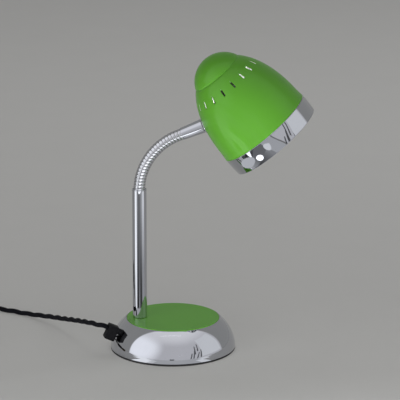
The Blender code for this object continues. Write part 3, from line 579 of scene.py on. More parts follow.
def make_base():
    """The chrome dome with the seat for its plate, the enamelled plate and the black foot."""
    low, high = asin((DOME_RIM + 0.0004) / DOME_ARC), asin((DOME_TOP - 0.0003) / DOME_ARC)
    outer = arc_points(DOME_CENTRE, DOME_ARC, low, high, 56)
    lip_radius = dome_radius(DOME_TOP)
    seat = PLATE_RADIUS + GAP
    shelf = PLATE_TOP - 0.0020
    shelf_edge = PLATE_RADIUS - 0.0030
    inner_arc = DOME_ARC - SHEET
    inner = arc_points(DOME_CENTRE, inner_arc, asin((shelf - SHEET) / inner_arc), low, 24)
    foot_edge = dome_radius(DOME_RIM)
    profile = [
        (foot_edge - 0.0008, DOME_RIM),
        (foot_edge - 0.00025, DOME_RIM + 0.0001),
        *outer,
        (lip_radius + 0.0001, DOME_TOP - 0.0001),
        (lip_radius - 0.0001, DOME_TOP),
        (seat + 0.0001, DOME_TOP),
        (seat, DOME_TOP - 0.0002),
        (seat, shelf),
        (shelf_edge, shelf),
        (shelf_edge, shelf - SHEET),
        *inner,
        (foot_edge - SHEET, DOME_RIM + 0.0003),
    ]
    add_turned("base_dome", profile, "chrome", replaces=["base_shell"])

    under = PLATE_TOP - 0.0017
    edge = [(PLATE_RADIUS, under, 0.0002), (PLATE_RADIUS, PLATE_TOP, 0.0005)]
    plate = rounded([(0, under), *edge, (0, PLATE_TOP)])
    add_turned("top_plate_enamel", plate, "enamel", replaces=["base_top_plate"], closed=False)

    foot = [
        (0, 0),
        (0.0640, 0),
        (0.0692, 0, 0.0002),
        (0.0698, 0.0007, 0.0004),
        (0.0698, FOOT_THICK, 0.0002),
        (0.0683, FOOT_THICK),
        (0.0676, 0.0044, 0.0002),
        (0.0640, 0.0044, 0.0002),
        (0.0630, FOOT_THICK),
        (0, FOOT_THICK),
    ]
    add_turned("foot_ring", rounded(foot), "rubber", replaces=["foot_pad"], closed=False)


def make_stem():
    """The chrome tube, with a fine turned line under its mouth."""
    foot, top = STEM_LOW.z, STEM_HIGH.z
    bore = STEM_RADIUS - SHEET
    profile = [
        (bore, foot),
        (STEM_RADIUS, foot, 0.0002),
        (STEM_RADIUS, top - 0.0013, 0.0001),
        (STEM_RADIUS - 0.0003, top - 0.0011, 0.0001),
        (STEM_RADIUS - 0.0003, top - 0.0008, 0.0001),
        (STEM_RADIUS + 0.0001, top - 0.0006, 0.0001),
        (STEM_RADIUS + 0.0001, top - 0.0001, 0.0002),
        (STEM_RADIUS - 0.0008, top + 0.0002, 0.0003),
        (bore, top - 0.0002, 0.0001),
    ]
    matrix = Matrix.Translation((STEM_X, 0, 0))
    add_turned("stem_chrome_tube", rounded(profile), "chrome", "base", ["stem_tube"], matrix, MEDIUM_ROUND)


# ---- gooseneck ----


def neck_frame_at(distance):
    """The frame on the neck's middle line, this far along it from where the bend starts:
    X towards the bend's inner side, Z along the neck."""
    turn = min(max(distance, 0), NECK_LENGTH) / NECK_ARC
    straight = distance - turn * NECK_ARC
    place = NECK_START + Vector((NECK_ARC * (1 - cos(turn)), 0, NECK_ARC * sin(turn)))
    place += straight * Vector((sin(turn), 0, cos(turn)))
    return Matrix.Translation(place) @ Matrix.Rotation(turn, 4, "Y")


def winding_mesh():
    """The whole wound neck as one right-handed spiral of rounded ridges, with its normals kept."""
    rows, columns = 16, 72
    start = -0.0060
    end = NECK_LENGTH - LINK_PITCH / 2 + FERRULE_START + 0.0050
    count = int((end - start) / WINDING_PITCH) * rows
    bm = bmesh.new()
    groove = bm.verts.layers.float.new("groove")
    grid = []
    for row in range(count + rows + 1):
        across = 2 * (row % rows) / rows - 1
        drop = WINDING_DEPTH * (0.10 * across**2 + 0.90 * across**8)
        line = []
        for column in range(columns):
            turn = 2 * pi * column / columns
            distance = start + WINDING_PITCH * (row / rows + column / columns)
            radius = NECK_RADIUS - drop
            spoke = Vector((radius * cos(turn), radius * sin(turn), 0))
            vert = bm.verts.new(neck_frame_at(distance) @ spoke)
            # How far into a groove this point lies, which the neck plating reads for its painted groove
            # shade.
            vert[groove] = abs(across)
            line.append(vert)
        grid.append(line)
    for row in range(count):
        for column in range(columns - 1):
            low, high = grid[row], grid[row + 1]
            bm.faces.new((low[column], low[column + 1], high[column + 1], high[column]))
        last = (grid[row][-1], grid[row + rows][0], grid[row + rows + 1][0], grid[row + 1][-1])
        bm.faces.new(last)
    bmesh.ops.delete(bm, geom=[v for v in bm.verts if not v.link_faces], context="VERTS")
    bm.normal_update()
    layer = bm.verts.layers.float_vector.new("smooth_normal")
    for vert in bm.verts:
        vert[layer] = vert.normal
    return bm


def make_neck():
    """The winding is cut at the hidden hinges, so that each length of it rides on one link."""
    whole = winding_mesh()
    links = [f"link_{k:02d}" for k in range(1, LINK_COUNT + 1)]
    bodies = ["base", *links, "head"]
    hidden = ["neck_socket", *("neck_" + link for link in links), "neck_end_fitting"]
    for number, (body, node) in enumerate(zip(bodies, hidden)):
        bm = whole.copy()
        for hinge, outward in ((number, -1), (number + 1, 1)):
            if hinge in (0, len(bodies)):
                continue
            end = neck_frame_at(NECK_ARC * LINK_TURN * (hinge - 0.5))
            slice_off(bm, end.translation, outward * end.col[2].to_3d())
        layer = bm.verts.layers.float_vector["smooth_normal"]
        normals = [vert[layer].normalized() for vert in bm.verts]
        bm.verts.layers.float_vector.remove(layer)
        name = f"neck_winding_{number:02d}"
        mesh = bpy.data.meshes.new(name)
        bm.to_mesh(mesh)
        bm.free()
        mesh.shade_smooth()
        mesh.normals_split_custom_set_from_vertices(normals)
        mesh.materials.append(NECK_PLATING)
        piece = add_object(name, mesh)
        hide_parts(node)
        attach(piece, body)
    whole.free()
    make_neck_rings(bodies)


def make_neck_rings(bodies):
    """A ball-shaped ring under every cut, which keeps the neck closed where it bends."""
    ball = NECK_RADIUS - WINDING_DEPTH - 0.0001
    inside = ball - 0.0006
    profile = arc_points(0, ball, -0.35, 0.35, 9)
    low, high = profile[0][1], profile[-1][1]
    profile = [*profile, (inside, high), (inside, low)]
    for number in range(1, LINK_COUNT + 2):
        name, matrix = f"neck_ring_{number:02d}", hinge_matrix(number)
        add_turned(name, profile, "steel", bodies[number], matrix=matrix, sides=SMALL_ROUND)


def hinge_matrix(number):
    """The frame of hinge 1, 2 and so on: at the hinge, with +Z up the piece above it."""
    place = FIRST_HINGE.copy()
    for k in range(1, number):
        place += LINK_PITCH * Vector((sin(k * LINK_TURN), 0, cos(k * LINK_TURN)))
    return Matrix.Translation(place) @ Matrix.Rotation(number * LINK_TURN, 4, "Y")


# ---- head ----


def shade_matrix():
    """The shade's frame: +Z out of its mouth, +X towards the neck."""
    axis = Vector((cos(SHADE_TILT), 0, -sin(SHADE_TILT)))
    towards_neck = Vector((-sin(SHADE_TILT), 0, -cos(SHADE_TILT)))
    axes = Matrix((towards_neck, axis.cross(towards_neck), axis)).transposed()
    return Matrix.Translation(SHADE_ORIGIN) @ axes.to_4x4()


def bell_radius(depth):
    flare = FLARE * max(0, 1 - depth / FLARE_LENGTH) ** 2
    return BELL_RADIUS * sqrt(1 - (depth / BELL_LENGTH) ** BELL_POWER) + flare


CREASE_RADIUS = bell_radius(CREASE_DEPTH)
CROWN_RISE = CROWN_DEPTH - CREASE_DEPTH
CROWN_SPHERE = (CREASE_RADIUS**2 + CROWN_RISE**2) / (2 * CROWN_RISE)
CROWN_MIDDLE = CROWN_DEPTH - CROWN_SPHERE


def shade_radius(depth):
    """The bell and its crown, with a fine pressed groove at the crease between them."""
    softness = 0.00022
    if depth < CREASE_DEPTH - 0.0060:
        return bell_radius(depth)
    crown = sqrt(CROWN_SPHERE**2 - (depth - CROWN_MIDDLE) ** 2)
    if depth > CREASE_DEPTH + 0.0060:
        return crown
    bell = bell_radius(depth)
    groove = GROOVE_DEPTH * exp(-(((depth - CREASE_DEPTH) / GROOVE_HALF_WIDTH) ** 2))
    return (bell + crown + sqrt((bell - crown) ** 2 + softness**2)) / 2 - groove


def vent_patch(bm, turn, low, high, half_angle, columns, rows):
    """One stretch of the bell with a rounded slot in its middle, made of rings about the slot."""
    middle = (low + high) / 2
    girth = shade_radius(VENT_DEPTH) * half_angle
    slope = (shade_radius(VENT_DEPTH - 0.001) - shade_radius(VENT_DEPTH + 0.001)) / 0.002
    reach = (high - low) / 2 * sqrt(1 + slope**2)
    border = [(-1 + 2 * k / columns, -1) for k in range(columns)]
    border += [(1, -1 + 2 * k / rows) for k in range(rows)]
    border += [(1 - 2 * k / columns, 1) for k in range(columns)]
    border += [(-1, 1 - 2 * k / rows) for k in range(rows)]
    half = Vector((VENT_WIDTH / 2, VENT_LENGTH / 2))
    corner = 0.0009
    rings = []
    pressed_in = [(0, 0.00042), (0.012, 0.00016), (0.035, 0.00003)]
    flush = [(share, 0) for share in (0.08, 0.2, 0.45, 0.72, 1)]
    for share, sink in pressed_in + flush:
        ring = []
        for u, v in border:
            edge = Vector((u * girth, v * reach))
            slot = Vector((u * half.x, v * half.y))
            core = Vector((max(-half.x + corner, min(half.x - corner, slot.x)), 0))
            core.y = max(-half.y + corner, min(half.y - corner, slot.y))
            spoke = slot - core
            if spoke.length > corner * 0.2:
                slot = core + spoke.normalized() * corner
            spot = slot.lerp(edge, share)
            depth = middle + spot.y / reach * (high - low) / 2
            angle = turn + spot.x / girth * half_angle
            radius = shade_radius(depth) - sink
            ring.append(bm.verts.new((radius * cos(angle), radius * sin(angle), -depth)))
        rings.append(ring)
    for inner, outer in zip(rings, rings[1:]):
        bridge(bm, inner, outer)


def ring_rows(bm, depths, columns, first_turn):
    """Rings of the bell at these depths. The crown's tip is a single point."""
    rings = []
    for depth in depths:
        radius = 0 if CROWN_DEPTH - depth < 1e-6 else shade_radius(depth)
        rings.append(circle(bm, radius, -depth, columns, first_turn))
    for low, high in zip(rings, rings[1:]):
        bridge(bm, low, high)


def make_shade(matrix):
    """The enamelled bell, white inside and with its ring of slots, and the chrome band on its mouth."""
    vent_columns, vent_rows = 12, 26
    columns = VENT_COUNT * vent_columns
    half_angle = pi / VENT_COUNT
    low, high = VENT_DEPTH - 0.0062, VENT_DEPTH + 0.0062
    bm = bmesh.new()
    for k in range(VENT_COUNT):
        vent_patch(bm, VENT_PHASE + 2 * half_angle * k, low, high, half_angle, vent_columns, vent_rows)
    first_turn = VENT_PHASE - half_angle
    bell = [GAP + (low - GAP) * k / 52 for k in range(53)]
    near_crease = [high + (CREASE_DEPTH + 0.0070 - high) * k / 100 for k in range(101)]
    start = atan2(shade_radius(near_crease[-1]), near_crease[-1] - CROWN_MIDDLE)
    crown = [CROWN_MIDDLE + CROWN_SPHERE * cos(start * (1 - k / 26)) for k in range(1, 27)]
    crown[-1] = CROWN_DEPTH
    ring_rows(bm, bell, columns, first_turn)
    ring_rows(bm, near_crease + crown, columns, first_turn)
    bmesh.ops.remove_doubles(bm, verts=bm.verts, dist=0.000005)
    mesh = finish_mesh(bm, "shade_enamel_bell")
    if mesh.polygons[0].normal.dot(mesh.polygons[0].center) < 0:
        mesh.flip_normals()
    mesh.materials.append(FINISHES["enamel"])
    mesh.materials.append(INNER_WHITE)
    bell_piece = add_object("shade_enamel_bell", mesh)
    wall = bell_piece.modifiers.new("wall", "SOLIDIFY")
    wall.thickness = SHEET * 0.9
    wall.offset = -1
    wall.material_offset = 1
    wall.material_offset_rim = 1
    apply_modifiers(bell_piece)
    bell_piece.data.transform(matrix)
    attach(bell_piece, "head")
    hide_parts("shade_shell")

    lip = BAND_LIP_RADIUS
    outer = [(BAND_RADIUS, 0.00005, 0.00025)]
    for k in range(1, 10):
        share = k / 10
        bow = 0.00018 * sin(pi * share)
        outer.append((BAND_RADIUS + (lip - BAND_RADIUS) * share**2 + bow, BAND_LENGTH * share))
    band = [
        *outer,
        (lip, BAND_LENGTH, 0.0007),
        (lip - 0.0016, BAND_LENGTH, 0.0006),
        (lip - 0.0016, BAND_LENGTH - 0.0016, 0.0003),
        (BAND_RADIUS - SHEET, BAND_LENGTH * 0.6),
        (BAND_RADIUS - SHEET, 0.0020),
        (BAND_RADIUS - 2 * SHEET - GAP, 0.0006),
        (BAND_RADIUS - 2 * SHEET - GAP, 0),
        (bell_radius(0.0060) - 2 * SHEET - GAP, -0.0060),
        (bell_radius(0.0060) - SHEET - GAP, -0.0060),
        (BAND_RADIUS - SHEET - GAP, 0.00005),
    ]
    add_turned("rim_chrome_band", rounded(band), "chrome", "head", ["shade_rim_band"], matrix)


def make_neck_end(frame_matrix, shade_frame):
    """The tapered sleeve, and a lock ring whose outer end follows the bell's curve."""
    ferrule = [
        (0.0060, FERRULE_START - 0.0002, 0.0001),
        (0.0069, FERRULE_START - 0.0002, 0.0003),
        (0.0073, FERRULE_START + 0.0080),
        (0.0076, FERRULE_START + 0.0150),
        (0.0080, FERRULE_END, 0.0005),
        (0.0060, FERRULE_END),
    ]
    profile = rounded(ferrule)
    add_turned("ferrule_sleeve", profile, "chrome", "head", ["neck_ferrule"], frame_matrix, MEDIUM_ROUND)

    to_shade = shade_frame.inverted() @ frame_matrix
    start = FERRULE_END + 0.0005
    bm = bmesh.new()
    rings = []
    for radius, along in ((0.0056, 0), (0.0081, 0), (0.0084, 0.0003), (0.0084, None), (0.0056, None)):
        ring = []
        for k in range(MEDIUM_ROUND):
            turn = 2 * pi * k / MEDIUM_ROUND
            spoke = Vector((radius * cos(turn), radius * sin(turn), 0))
            height = start + along if along is not None else bell_distance(to_shade, spoke, start)
            ring.append(bm.verts.new(spoke + Vector((0, 0, height))))
        rings.append(ring)
    for low, high in zip(rings, rings[1:] + rings[:1]):
        bridge(bm, low, high)
    mesh = finish_mesh(bm, "collar_ring")
    add_piece("collar_ring", mesh, "chrome", "head", ["ferrule_collar"], frame_matrix)


def bell_distance(to_shade, spoke, start):
    """How far along the neck's line from this spoke the bell's outer surface is met."""
    near, far = start, start + 0.0200
    for _ in range(30):
        middle = (near + far) / 2
        spot = to_shade @ (spoke + Vector((0, 0, middle)))
        depth = min(max(-spot.z, 0), CREASE_DEPTH)
        if hypot(spot.x, spot.y) > shade_radius(depth):
            near = middle
        else:
            far = middle
    return near


def make_holder(matrix):
    """The ribbed lampholder and the frosted bulb in it."""
    top = GAP - HOLDER_DEPTH
    mouth = top + HOLDER_LENGTH
    ribs = []
    rib_start, rib_pitch = top + 0.0080, 0.0022
    for k in range(10):
        at = rib_start + rib_pitch * k
        ribs += [(HOLDER_RADIUS, at), (HOLDER_RADIUS, at + 0.0013, 0.0002)]
        ribs += [(HOLDER_RADIUS - 0.0005, at + 0.0015), (HOLDER_RADIUS - 0.0005, at + 0.0020)]
    body = [
        (0, top),
        (HOLDER_RADIUS - 0.0022, top, 0.0004),
        (HOLDER_RADIUS, top + 0.0028, 0.0008),
        *ribs,
        (HOLDER_RADIUS, mouth - 0.0070, 0.0008),
        (HOLDER_RADIUS - 0.0016, mouth, 0.0006),
        (BULB_CAP_RADIUS + 0.0006, mouth, 0.0003),
        (BULB_CAP_RADIUS + 0.0006, mouth - 0.0258),
        (0, mouth - 0.0258),
    ]
    place = {"body": "head", "matrix": matrix, "sides": MEDIUM_ROUND, "closed": False}
    add_turned("lampholder_moulding", rounded(body), "ceramic", replaces=["lampholder_body"], **place)

    neck = BULB_CAP_RADIUS - 0.0004
    start = mouth - 0.0020 + GAP
    shoulder = pi - asin((neck + 0.0035) / BULB_RADIUS)
    turns = [shoulder * k / 40 for k in range(41)]
    globe = [(BULB_RADIUS * sin(t), -BULB_DEPTH + BULB_RADIUS * cos(t)) for t in turns]
    globe[0] = (0, globe[0][1])
    join = globe[-1]
    throat = []
    for k in range(1, 9):
        share = k / 8
        radius = join[0] + (neck - join[0]) * sqrt(share) * (2 - share) ** 0.5
        throat.append((radius, join[1] + (start - join[1]) * ease(share)))
    inner = [(max(0, r - 0.0010), h + 0.0006) for r, h in reversed(globe + throat)]
    inner[-1] = (0, globe[0][1] - 0.0010)
    add_turned("bulb_globe", [*globe, *throat, *inner], "glass", replaces=["bulb_glass"], **place)


# ---- cord grip ----


def grip_matrix():
    """The grip's frame on the dome: +Z outward along the cord's first run, +Y up."""
    radius = dome_radius(GRIP_HEIGHT)
    place = Vector((-radius * cos(GRIP_TURN), -radius * sin(GRIP_TURN), GRIP_HEIGHT))
    level = Vector((-cos(GRIP_AXIS_TURN), -sin(GRIP_AXIS_TURN), 0))
    outward = level * cos(GRIP_AXIS_RISE) + Vector((0, 0, sin(GRIP_AXIS_RISE)))
    side = Vector((0, 0, 1)).cross(outward).normalized()
    axes = Matrix((side, outward.cross(side), outward)).transposed()
    return Matrix.Translation(place) @ axes.to_4x4()


def make_grip(matrix):
    """The black block that the cord runs through, its spigot in the dome and its set screw."""
    middle = -GRIP_BORE_OFFSET
    low = (-GRIP_HALF_WIDTH, middle - GRIP_HALF_HEIGHT, GRIP_INNER_FACE)
    high = (GRIP_HALF_WIDTH, middle + GRIP_HALF_HEIGHT, GRIP_OUTER_FACE)
    block = rounded_box("grip_moulding", low, high, 0.0011, 5)
    wall = CORD_RADIUS + 0.0001
    bore = [(0, 0.0010), (wall, 0.0010), (wall, 0.0143), (0.0040, 0.0158), (0, 0.0158)]
    block = cut(block, turned("bore", bore, SMALL_ROUND, closed=False))
    screw_place = Matrix.Translation((0, middle - GRIP_HALF_HEIGHT - 0.0002, 0.0085))
    screw_matrix = screw_place @ Matrix.Rotation(-pi / 2, 4, "X")
    hole = [(0, -0.0020), (0.0023, -0.0020), (0.0019, 0.0005), (0.0019, 0.0043), (0, 0.0043)]
    block = cut(block, turned("screw_hole", hole, SMALL_ROUND, closed=False), screw_matrix)
    add_piece("grip_moulding", block, "black", "base", ["cord_grip_block"], matrix)

    spigot = [
        (GRIP_STEM_BORE, -0.0090),
        (GRIP_STEM_RADIUS, -0.0090, 0.0002),
        (GRIP_STEM_RADIUS, GRIP_INNER_FACE - GAP, 0.0002),
        (GRIP_STEM_BORE, GRIP_INNER_FACE - GAP),
    ]
    add_turned("grip_spigot", rounded(spigot), "black", "base", ["cord_grip_stem"], matrix, SMALL_ROUND)

    barrel = rounded([(0, 0.0003), (0.0016, 0.0003, 0.0002), (0.0016, 0.0040, 0.0002), (0, 0.0040)])
    screw = turned("grip_set_screw", barrel, SMALL_ROUND, closed=False)
    driver = rounded_box("driver_slot", (-0.0003, -0.0020, -0.0002), (0.0003, 0.0020, 0.0012), 0.00005)
    screw = cut(screw, driver)
    add_piece("grip_set_screw", screw, "steel", "base", ["cord_grip_screw"], matrix @ screw_matrix)


# ---- cord ----


def smooth_line(points, step):
    """Points a step apart on a Catmull-Rom curve through the given points."""
    points = [Vector(p) for p in points]
    ends = [2 * points[0] - points[1], *points, 2 * points[-1] - points[-2]]
    fine = []
    for a, b, c, d in zip(ends, ends[1:], ends[2:], ends[3:]):
        for k in range(16):
            t = k / 16
            tangent = (c - a) * t
            square = (2 * a - 5 * b + 4 * c - d) * t**2
            cube = (3 * b - a - 3 * c + d) * t**3
            fine.append((2 * b + tangent + square + cube) / 2)
    fine.append(points[-1])
    lengths = [0.0]
    for a, b in zip(fine, fine[1:]):
        lengths.append(lengths[-1] + (b - a).length)
    count = round(lengths[-1] / step)
    line = []
    at = 0
    for k in range(count + 1):
        wanted = lengths[-1] * k / count
        while at < len(fine) - 2 and lengths[at + 1] < wanted:
            at += 1
        share = (wanted - lengths[at]) / (lengths[at + 1] - lengths[at])
        line.append(fine[at].lerp(fine[at + 1], share))
    return line, lengths[-1]


def coil_points():
    """The wound spare length. The turns lie side by side, then in the hollows of the layer below."""
    inner, outer = COIL_MIDDLE - 2 * CORD_RADIUS, COIL_MIDDLE + 2 * CORD_RADIUS
    low, middle, high = CORD_REST, CORD_REST + 0.0052, CORD_REST + 0.0104
    # (turns wound so far, radius, height): the radius and height ease over between two rows.
    stops = [
        (0.00, outer, low),
        (0.80, outer, low),
        (1.00, COIL_MIDDLE, low),
        (1.80, COIL_MIDDLE, low),
        (2.00, inner, low),
        (2.85, inner, low),
        (3.05, inner + CORD_RADIUS, middle),
        (3.85, inner + CORD_RADIUS, middle),
        (4.05, outer - CORD_RADIUS, middle),
        (4.85, outer - CORD_RADIUS, middle),
        (5.05, COIL_MIDDLE, high),
        (5.90, COIL_MIDDLE, high),
        (6.04, COIL_MIDDLE + 0.0030, high - 0.0010),
    ]
    per_turn = 24
    points = []
    for k in range(int(stops[-1][0] * per_turn) + 1):
        wound = k / per_turn
        index = max(i for i in range(len(stops) - 1) if stops[i][0] <= wound)
        before, after = stops[index], stops[index + 1]
        share = ease((wound - before[0]) / (after[0] - before[0]))
        radius = before[1] + (after[1] - before[1]) * share
        height = before[2] + (after[2] - before[2]) * share
        turn = pi + 2 * pi * wound
        points.append(COIL_CENTRE + Vector((radius * cos(turn), radius * sin(turn), height)))
    return points


def strand_frames(line):
    """The line's directions and a normal that turns as little as it can from one point to the next."""
    directions = [(b - a).normalized() for a, b in zip([line[0], *line[:-1]], [*line[1:], line[-1]])]
    normal = directions[0].orthogonal().normalized()
    frames = []
    for direction in directions:
        normal = (normal - direction * normal.dot(direction)).normalized()
        frames.append((direction, normal, direction.cross(normal)))
    return frames


def twisted_mesh(line, length):
    """Sleeved strands laid round each other along the line."""
    sides = 14
    frames = strand_frames(line)
    bm = bmesh.new()
    uv = bm.loops.layers.uv.new("strand")
    offset = CORD_RADIUS - STRAND_RADIUS
    step = length / (len(line) - 1)
    for strand in range(STRAND_COUNT):
        rings = []
        for k, (point, (direction, normal, side)) in enumerate(zip(line, frames)):
            twist = 2 * pi * (k * step / CORD_LAY + strand / STRAND_COUNT)
            outward = normal * cos(twist) + side * sin(twist)
            across = direction.cross(outward)
            centre = point + outward * offset
            ring = []
            for j in range(sides):
                turn = 2 * pi * j / sides
                spoke = outward * cos(turn) + across * sin(turn)
                ring.append(bm.verts.new(centre + STRAND_RADIUS * spoke))
            rings.append(ring)
        for k, (low, high) in enumerate(zip(rings, rings[1:])):
            for j, face in enumerate(bridge(bm, low, high)):
                along, girth = k * step / (2 * pi * STRAND_RADIUS), step / (2 * pi * STRAND_RADIUS)
                corners = ((along, j), (along, j + 1), (along + girth, j + 1), (along + girth, j))
                for loop, (u, v) in zip(face.loops, corners):
                    loop[uv].uv = (u, v / sides)
        bm.faces.new(rings[0])
        bm.faces.new(rings[-1])
    return finish_mesh(bm, "power_cord")


def make_cord(grip_frame):
    """One cord through the switch and the coil, from the grip block to the plug."""
    start = grip_frame @ Vector((0, 0, GRIP_OUTER_FACE + GAP))
    end = PLUG_START - Vector((cos(PLUG_HEADING), sin(PLUG_HEADING), 0)) * GAP
    switch_middle = SWITCH_CENTRE + Vector((0, 0, SWITCH_SPLIT))
    half = Vector((SWITCH_LENGTH / 2 - 0.004, 0, 0))
    inside = [switch_middle + half, switch_middle, switch_middle - half]
    route = [start, *RUN_POINTS, *inside, *BRIDGE_POINTS, *coil_points(), *END_POINTS, end]
    line, length = smooth_line(route, CORD_STEP)
    solids = ["cord_run", "cord_bridge", "cord_coil", "cord_end"]
    cord = add_piece("power_cord", twisted_mesh(line, length), "fabric", replaces=solids)


def make_switch():
    """A two-part in-line switch: rounded halves with a parting line, and a rocker in a slot."""
    place = Matrix.Translation(SWITCH_CENTRE)
    half_length, half_width = SWITCH_LENGTH / 2, SWITCH_WIDTH / 2
    middle = SWITCH_HEIGHT / 2
    narrowing = [(0.40, 0.98, 0.99), (0.62, 0.88, 0.93), (0.80, 0.66, 0.80)]
    narrowing += [(0.93, 0.42, 0.62), (0.985, 0.30, 0.52), (1.0, 0.20, 0.45)]
    outline = [(-share, width, height) for share, width, height in reversed(narrowing)]
    outline += [(0.0, 1.0, 1.0), *narrowing]
    sections = []
    for share, width, height in outline:
        sections.append((share * half_length, half_width * width, (middle - 0.0001) * height, 3.6, middle))
    pieces = []
    for name, node, side in (
        ("switch_lower_shell", "switch_case_lower", -1),
        ("switch_upper_shell", "switch_case_upper", 1),
    ):
        bm = bmesh.new()
        bm.from_mesh(lofted(name, sections, 64))
        slice_off(bm, (0, 0, SWITCH_SPLIT + side * GAP / 2), (0, 0, -side))
        bmesh.ops.holes_fill(bm, edges=[e for e in bm.edges if len(e.link_faces) == 1])
        mesh = finish_mesh(bm, name)
        if side > 0:
            reach, depth = ROCKER_LENGTH / 2 + 0.0012, ROCKER_WIDTH / 2 + 0.0004
            slot_low = (-reach, -depth, SWITCH_SPLIT - 0.001)
            slot_high = (reach, depth, SWITCH_HEIGHT + 0.004)
            mesh = cut(mesh, rounded_box("slot", slot_low, slot_high, 0.0004))
        pieces.append(add_piece(name, mesh, "black", replaces=[node], matrix=place))

    half = ROCKER_LENGTH / 2
    rise = half * sin(ROCKER_LEAN)
    crest = SWITCH_HEIGHT + 0.0012 - ROCKER_PIVOT
    dish = [(half * (1 - k / 6), crest + rise * abs(1 - k / 6) ** 1.6) for k in range(13)]
    outline = [(-half, -0.0010), (-half * 0.5, -0.0045), (half * 0.5, -0.0045), (half, -0.0010), *dish]
    matrix = place @ Matrix.Translation((0, 0, ROCKER_PIVOT)) @ Matrix.Rotation(ROCKER_LEAN, 4, "Y")
    mesh = extruded("rocker_button", outline, ROCKER_WIDTH / 2, 0.0003)
    pieces.append(add_piece("rocker_button", mesh, "black", "switch_rocker", ["switch_rocker"], matrix))
    return pieces


def make_plug():
    """A flat two-pin plug with a ribbed relief where the cord goes in."""
    place = Matrix.Translation(PLUG_START) @ Matrix.Rotation(PLUG_HEADING, 4, "Z")
    sections = []
    relief = 0.0190
    for k in range(7):
        at = relief * k / 7
        radius = 0.0036 + 0.0014 * k / 7
        for share, swell in ((0, 0), (0.10, 0.0004), (0.45, 0.0004), (0.55, 0)):
            sections.append((at + share * relief / 7, radius + swell, radius + swell, 2.0, 0))
    flare = 14
    for k in range(flare + 1):
        share = k / flare
        width = 0.0050 + (0.0172 - 0.0050) * ease(share)
        height = 0.0050 + (0.0067 - 0.0050) * ease(share)
        sections.append((relief + (0.0350 - relief) * share, width, height, 2.0 + 1.6 * share, 0))
    sections += [
        (PLUG_LENGTH - 0.0022, 0.0175, 0.0068, 3.8, 0),
        (PLUG_LENGTH - 0.0008, 0.0173, 0.0066, 3.8, 0),
        (PLUG_LENGTH - 0.0002, 0.0168, 0.0061, 3.8, 0),
        (PLUG_LENGTH, 0.0160, 0.0054, 3.8, 0),
    ]
    mesh = lofted("plug_moulding", sections, 64)
    pieces = [add_piece("plug_moulding", mesh, "black", replaces=["plug_body"], matrix=place)]
    for side, node in ((1, "plug_pin_left"), (-1, "plug_pin_right")):
        base = place @ Matrix.Translation((PLUG_LENGTH, side * PIN_OFFSET, 0))
        shape = {"matrix": base @ Matrix.Rotation(pi / 2, 4, "Y"), "sides": SMALL_ROUND, "closed": False}
        sleeve = rounded([(0, 0), (0.0019, 0), (0.0019, 0.0100, 0.0002), (0, 0.0100)])
        pieces.append(add_turned(node + "_sleeve", sleeve, "black", **shape))
        pin = rounded([(0, 0.0099), (0.0020, 0.0099, 0.0001), (0.0020, 0.0190, 0.0012), (0, 0.0192)])
        pieces.append(add_turned(node + "_metal", pin, "brass", replaces=[node], **shape))
    return pieces


def make_tie():
    """A soft strap over the coil, its corners rounded where it bends down."""
    reach = COIL_HALF_WIDTH + 0.0005
    thick = 0.0011
    top = COIL_HEIGHT + GAP
    bend = 0.0040
    path = [(-reach, 0.0004)]
    for start, side in ((pi, -1), (pi / 2, 1)):
        for k in range(9):
            turn = start - pi / 2 * k / 8
            path.append((side * (reach - bend) + bend * cos(turn), top - bend + bend * sin(turn)))
    path.append((reach, 0.0004))
    outer = []
    for k, (x, z) in enumerate(path):
        before, after = Vector(path[max(k - 1, 0)]), Vector(path[min(k + 1, len(path) - 1)])
        along = (after - before).normalized()
        outer.append((x - along.y * thick, z + along.x * thick))
    outline = path + outer[::-1]
    turn = Matrix.Translation(COIL_CENTRE) @ Matrix.Rotation(TIE_TURN, 4, "Z")
    matrix = turn @ Matrix.Translation((COIL_MIDDLE, 0, 0))
    mesh = extruded("coil_strap", outline, 0.0044, 0.0002)
    return add_piece("coil_strap", mesh, "rubber", replaces=["coil_tie"], matrix=matrix)


# ---- stage ----

BACKDROP = (0.318, 0.320, 0.312)
AMBIENT = (0.095, 0.095, 0.095)


def glowing(name, near, far=None, near_at=0.2, far_at=0.7, from_above=False):
    """A card's light: one strength, or one that changes with the distance from the stem's foot.
    A card seen from above only is clear from below."""
    material = bpy.data.materials.new(name)
    material.use_nodes = True
    nodes = Nodes(material.node_tree)
    nodes.tree.nodes.clear()
    glow = nodes.node("ShaderNodeEmission")
    glow.inputs["Color"].default_value = (0.96, 0.98, 1.0, 1)
    glow.inputs["Strength"].default_value = near
    if far is not None:
        reach = nodes.node("ShaderNodeVectorMath", operation="DISTANCE")
        reach.inputs[1].default_value = (STEM_X, 0, 0)
        nodes.link(nodes.node("ShaderNodeNewGeometry").outputs["Position"], reach.inputs[0])
        strength = nodes.between(reach.outputs["Value"], near, far, near_at, far_at)
        nodes.link(strength, glow.inputs["Strength"])
    surface = glow.outputs["Emission"]
    if from_above:
        mix = nodes.node("ShaderNodeMixShader")
        nodes.link(nodes.node("ShaderNodeNewGeometry").outputs["Backfacing"], mix.inputs[0])
        nodes.link(nodes.node("ShaderNodeBsdfTransparent").outputs["BSDF"], mix.inputs[1])
        nodes.link(surface, mix.inputs[2])
        surface = mix.outputs["Shader"]
    nodes.link(surface, nodes.node("ShaderNodeOutputMaterial").inputs["Surface"])
    return material


def add_card(name, corners, material):
    """A card that only shows as a reflection, as a studio's cards and flags do outside the picture."""
    mesh = bpy.data.meshes.new(name)
    mesh.from_pydata([Vector(c) for c in corners], [], [range(len(corners))])
    mesh.materials.append(material)
    card = add_object(name, mesh)
    card.visible_camera = False
    card.visible_diffuse = False
    card.visible_transmission = False
    card.visible_volume_scatter = False
    card.visible_shadow = False


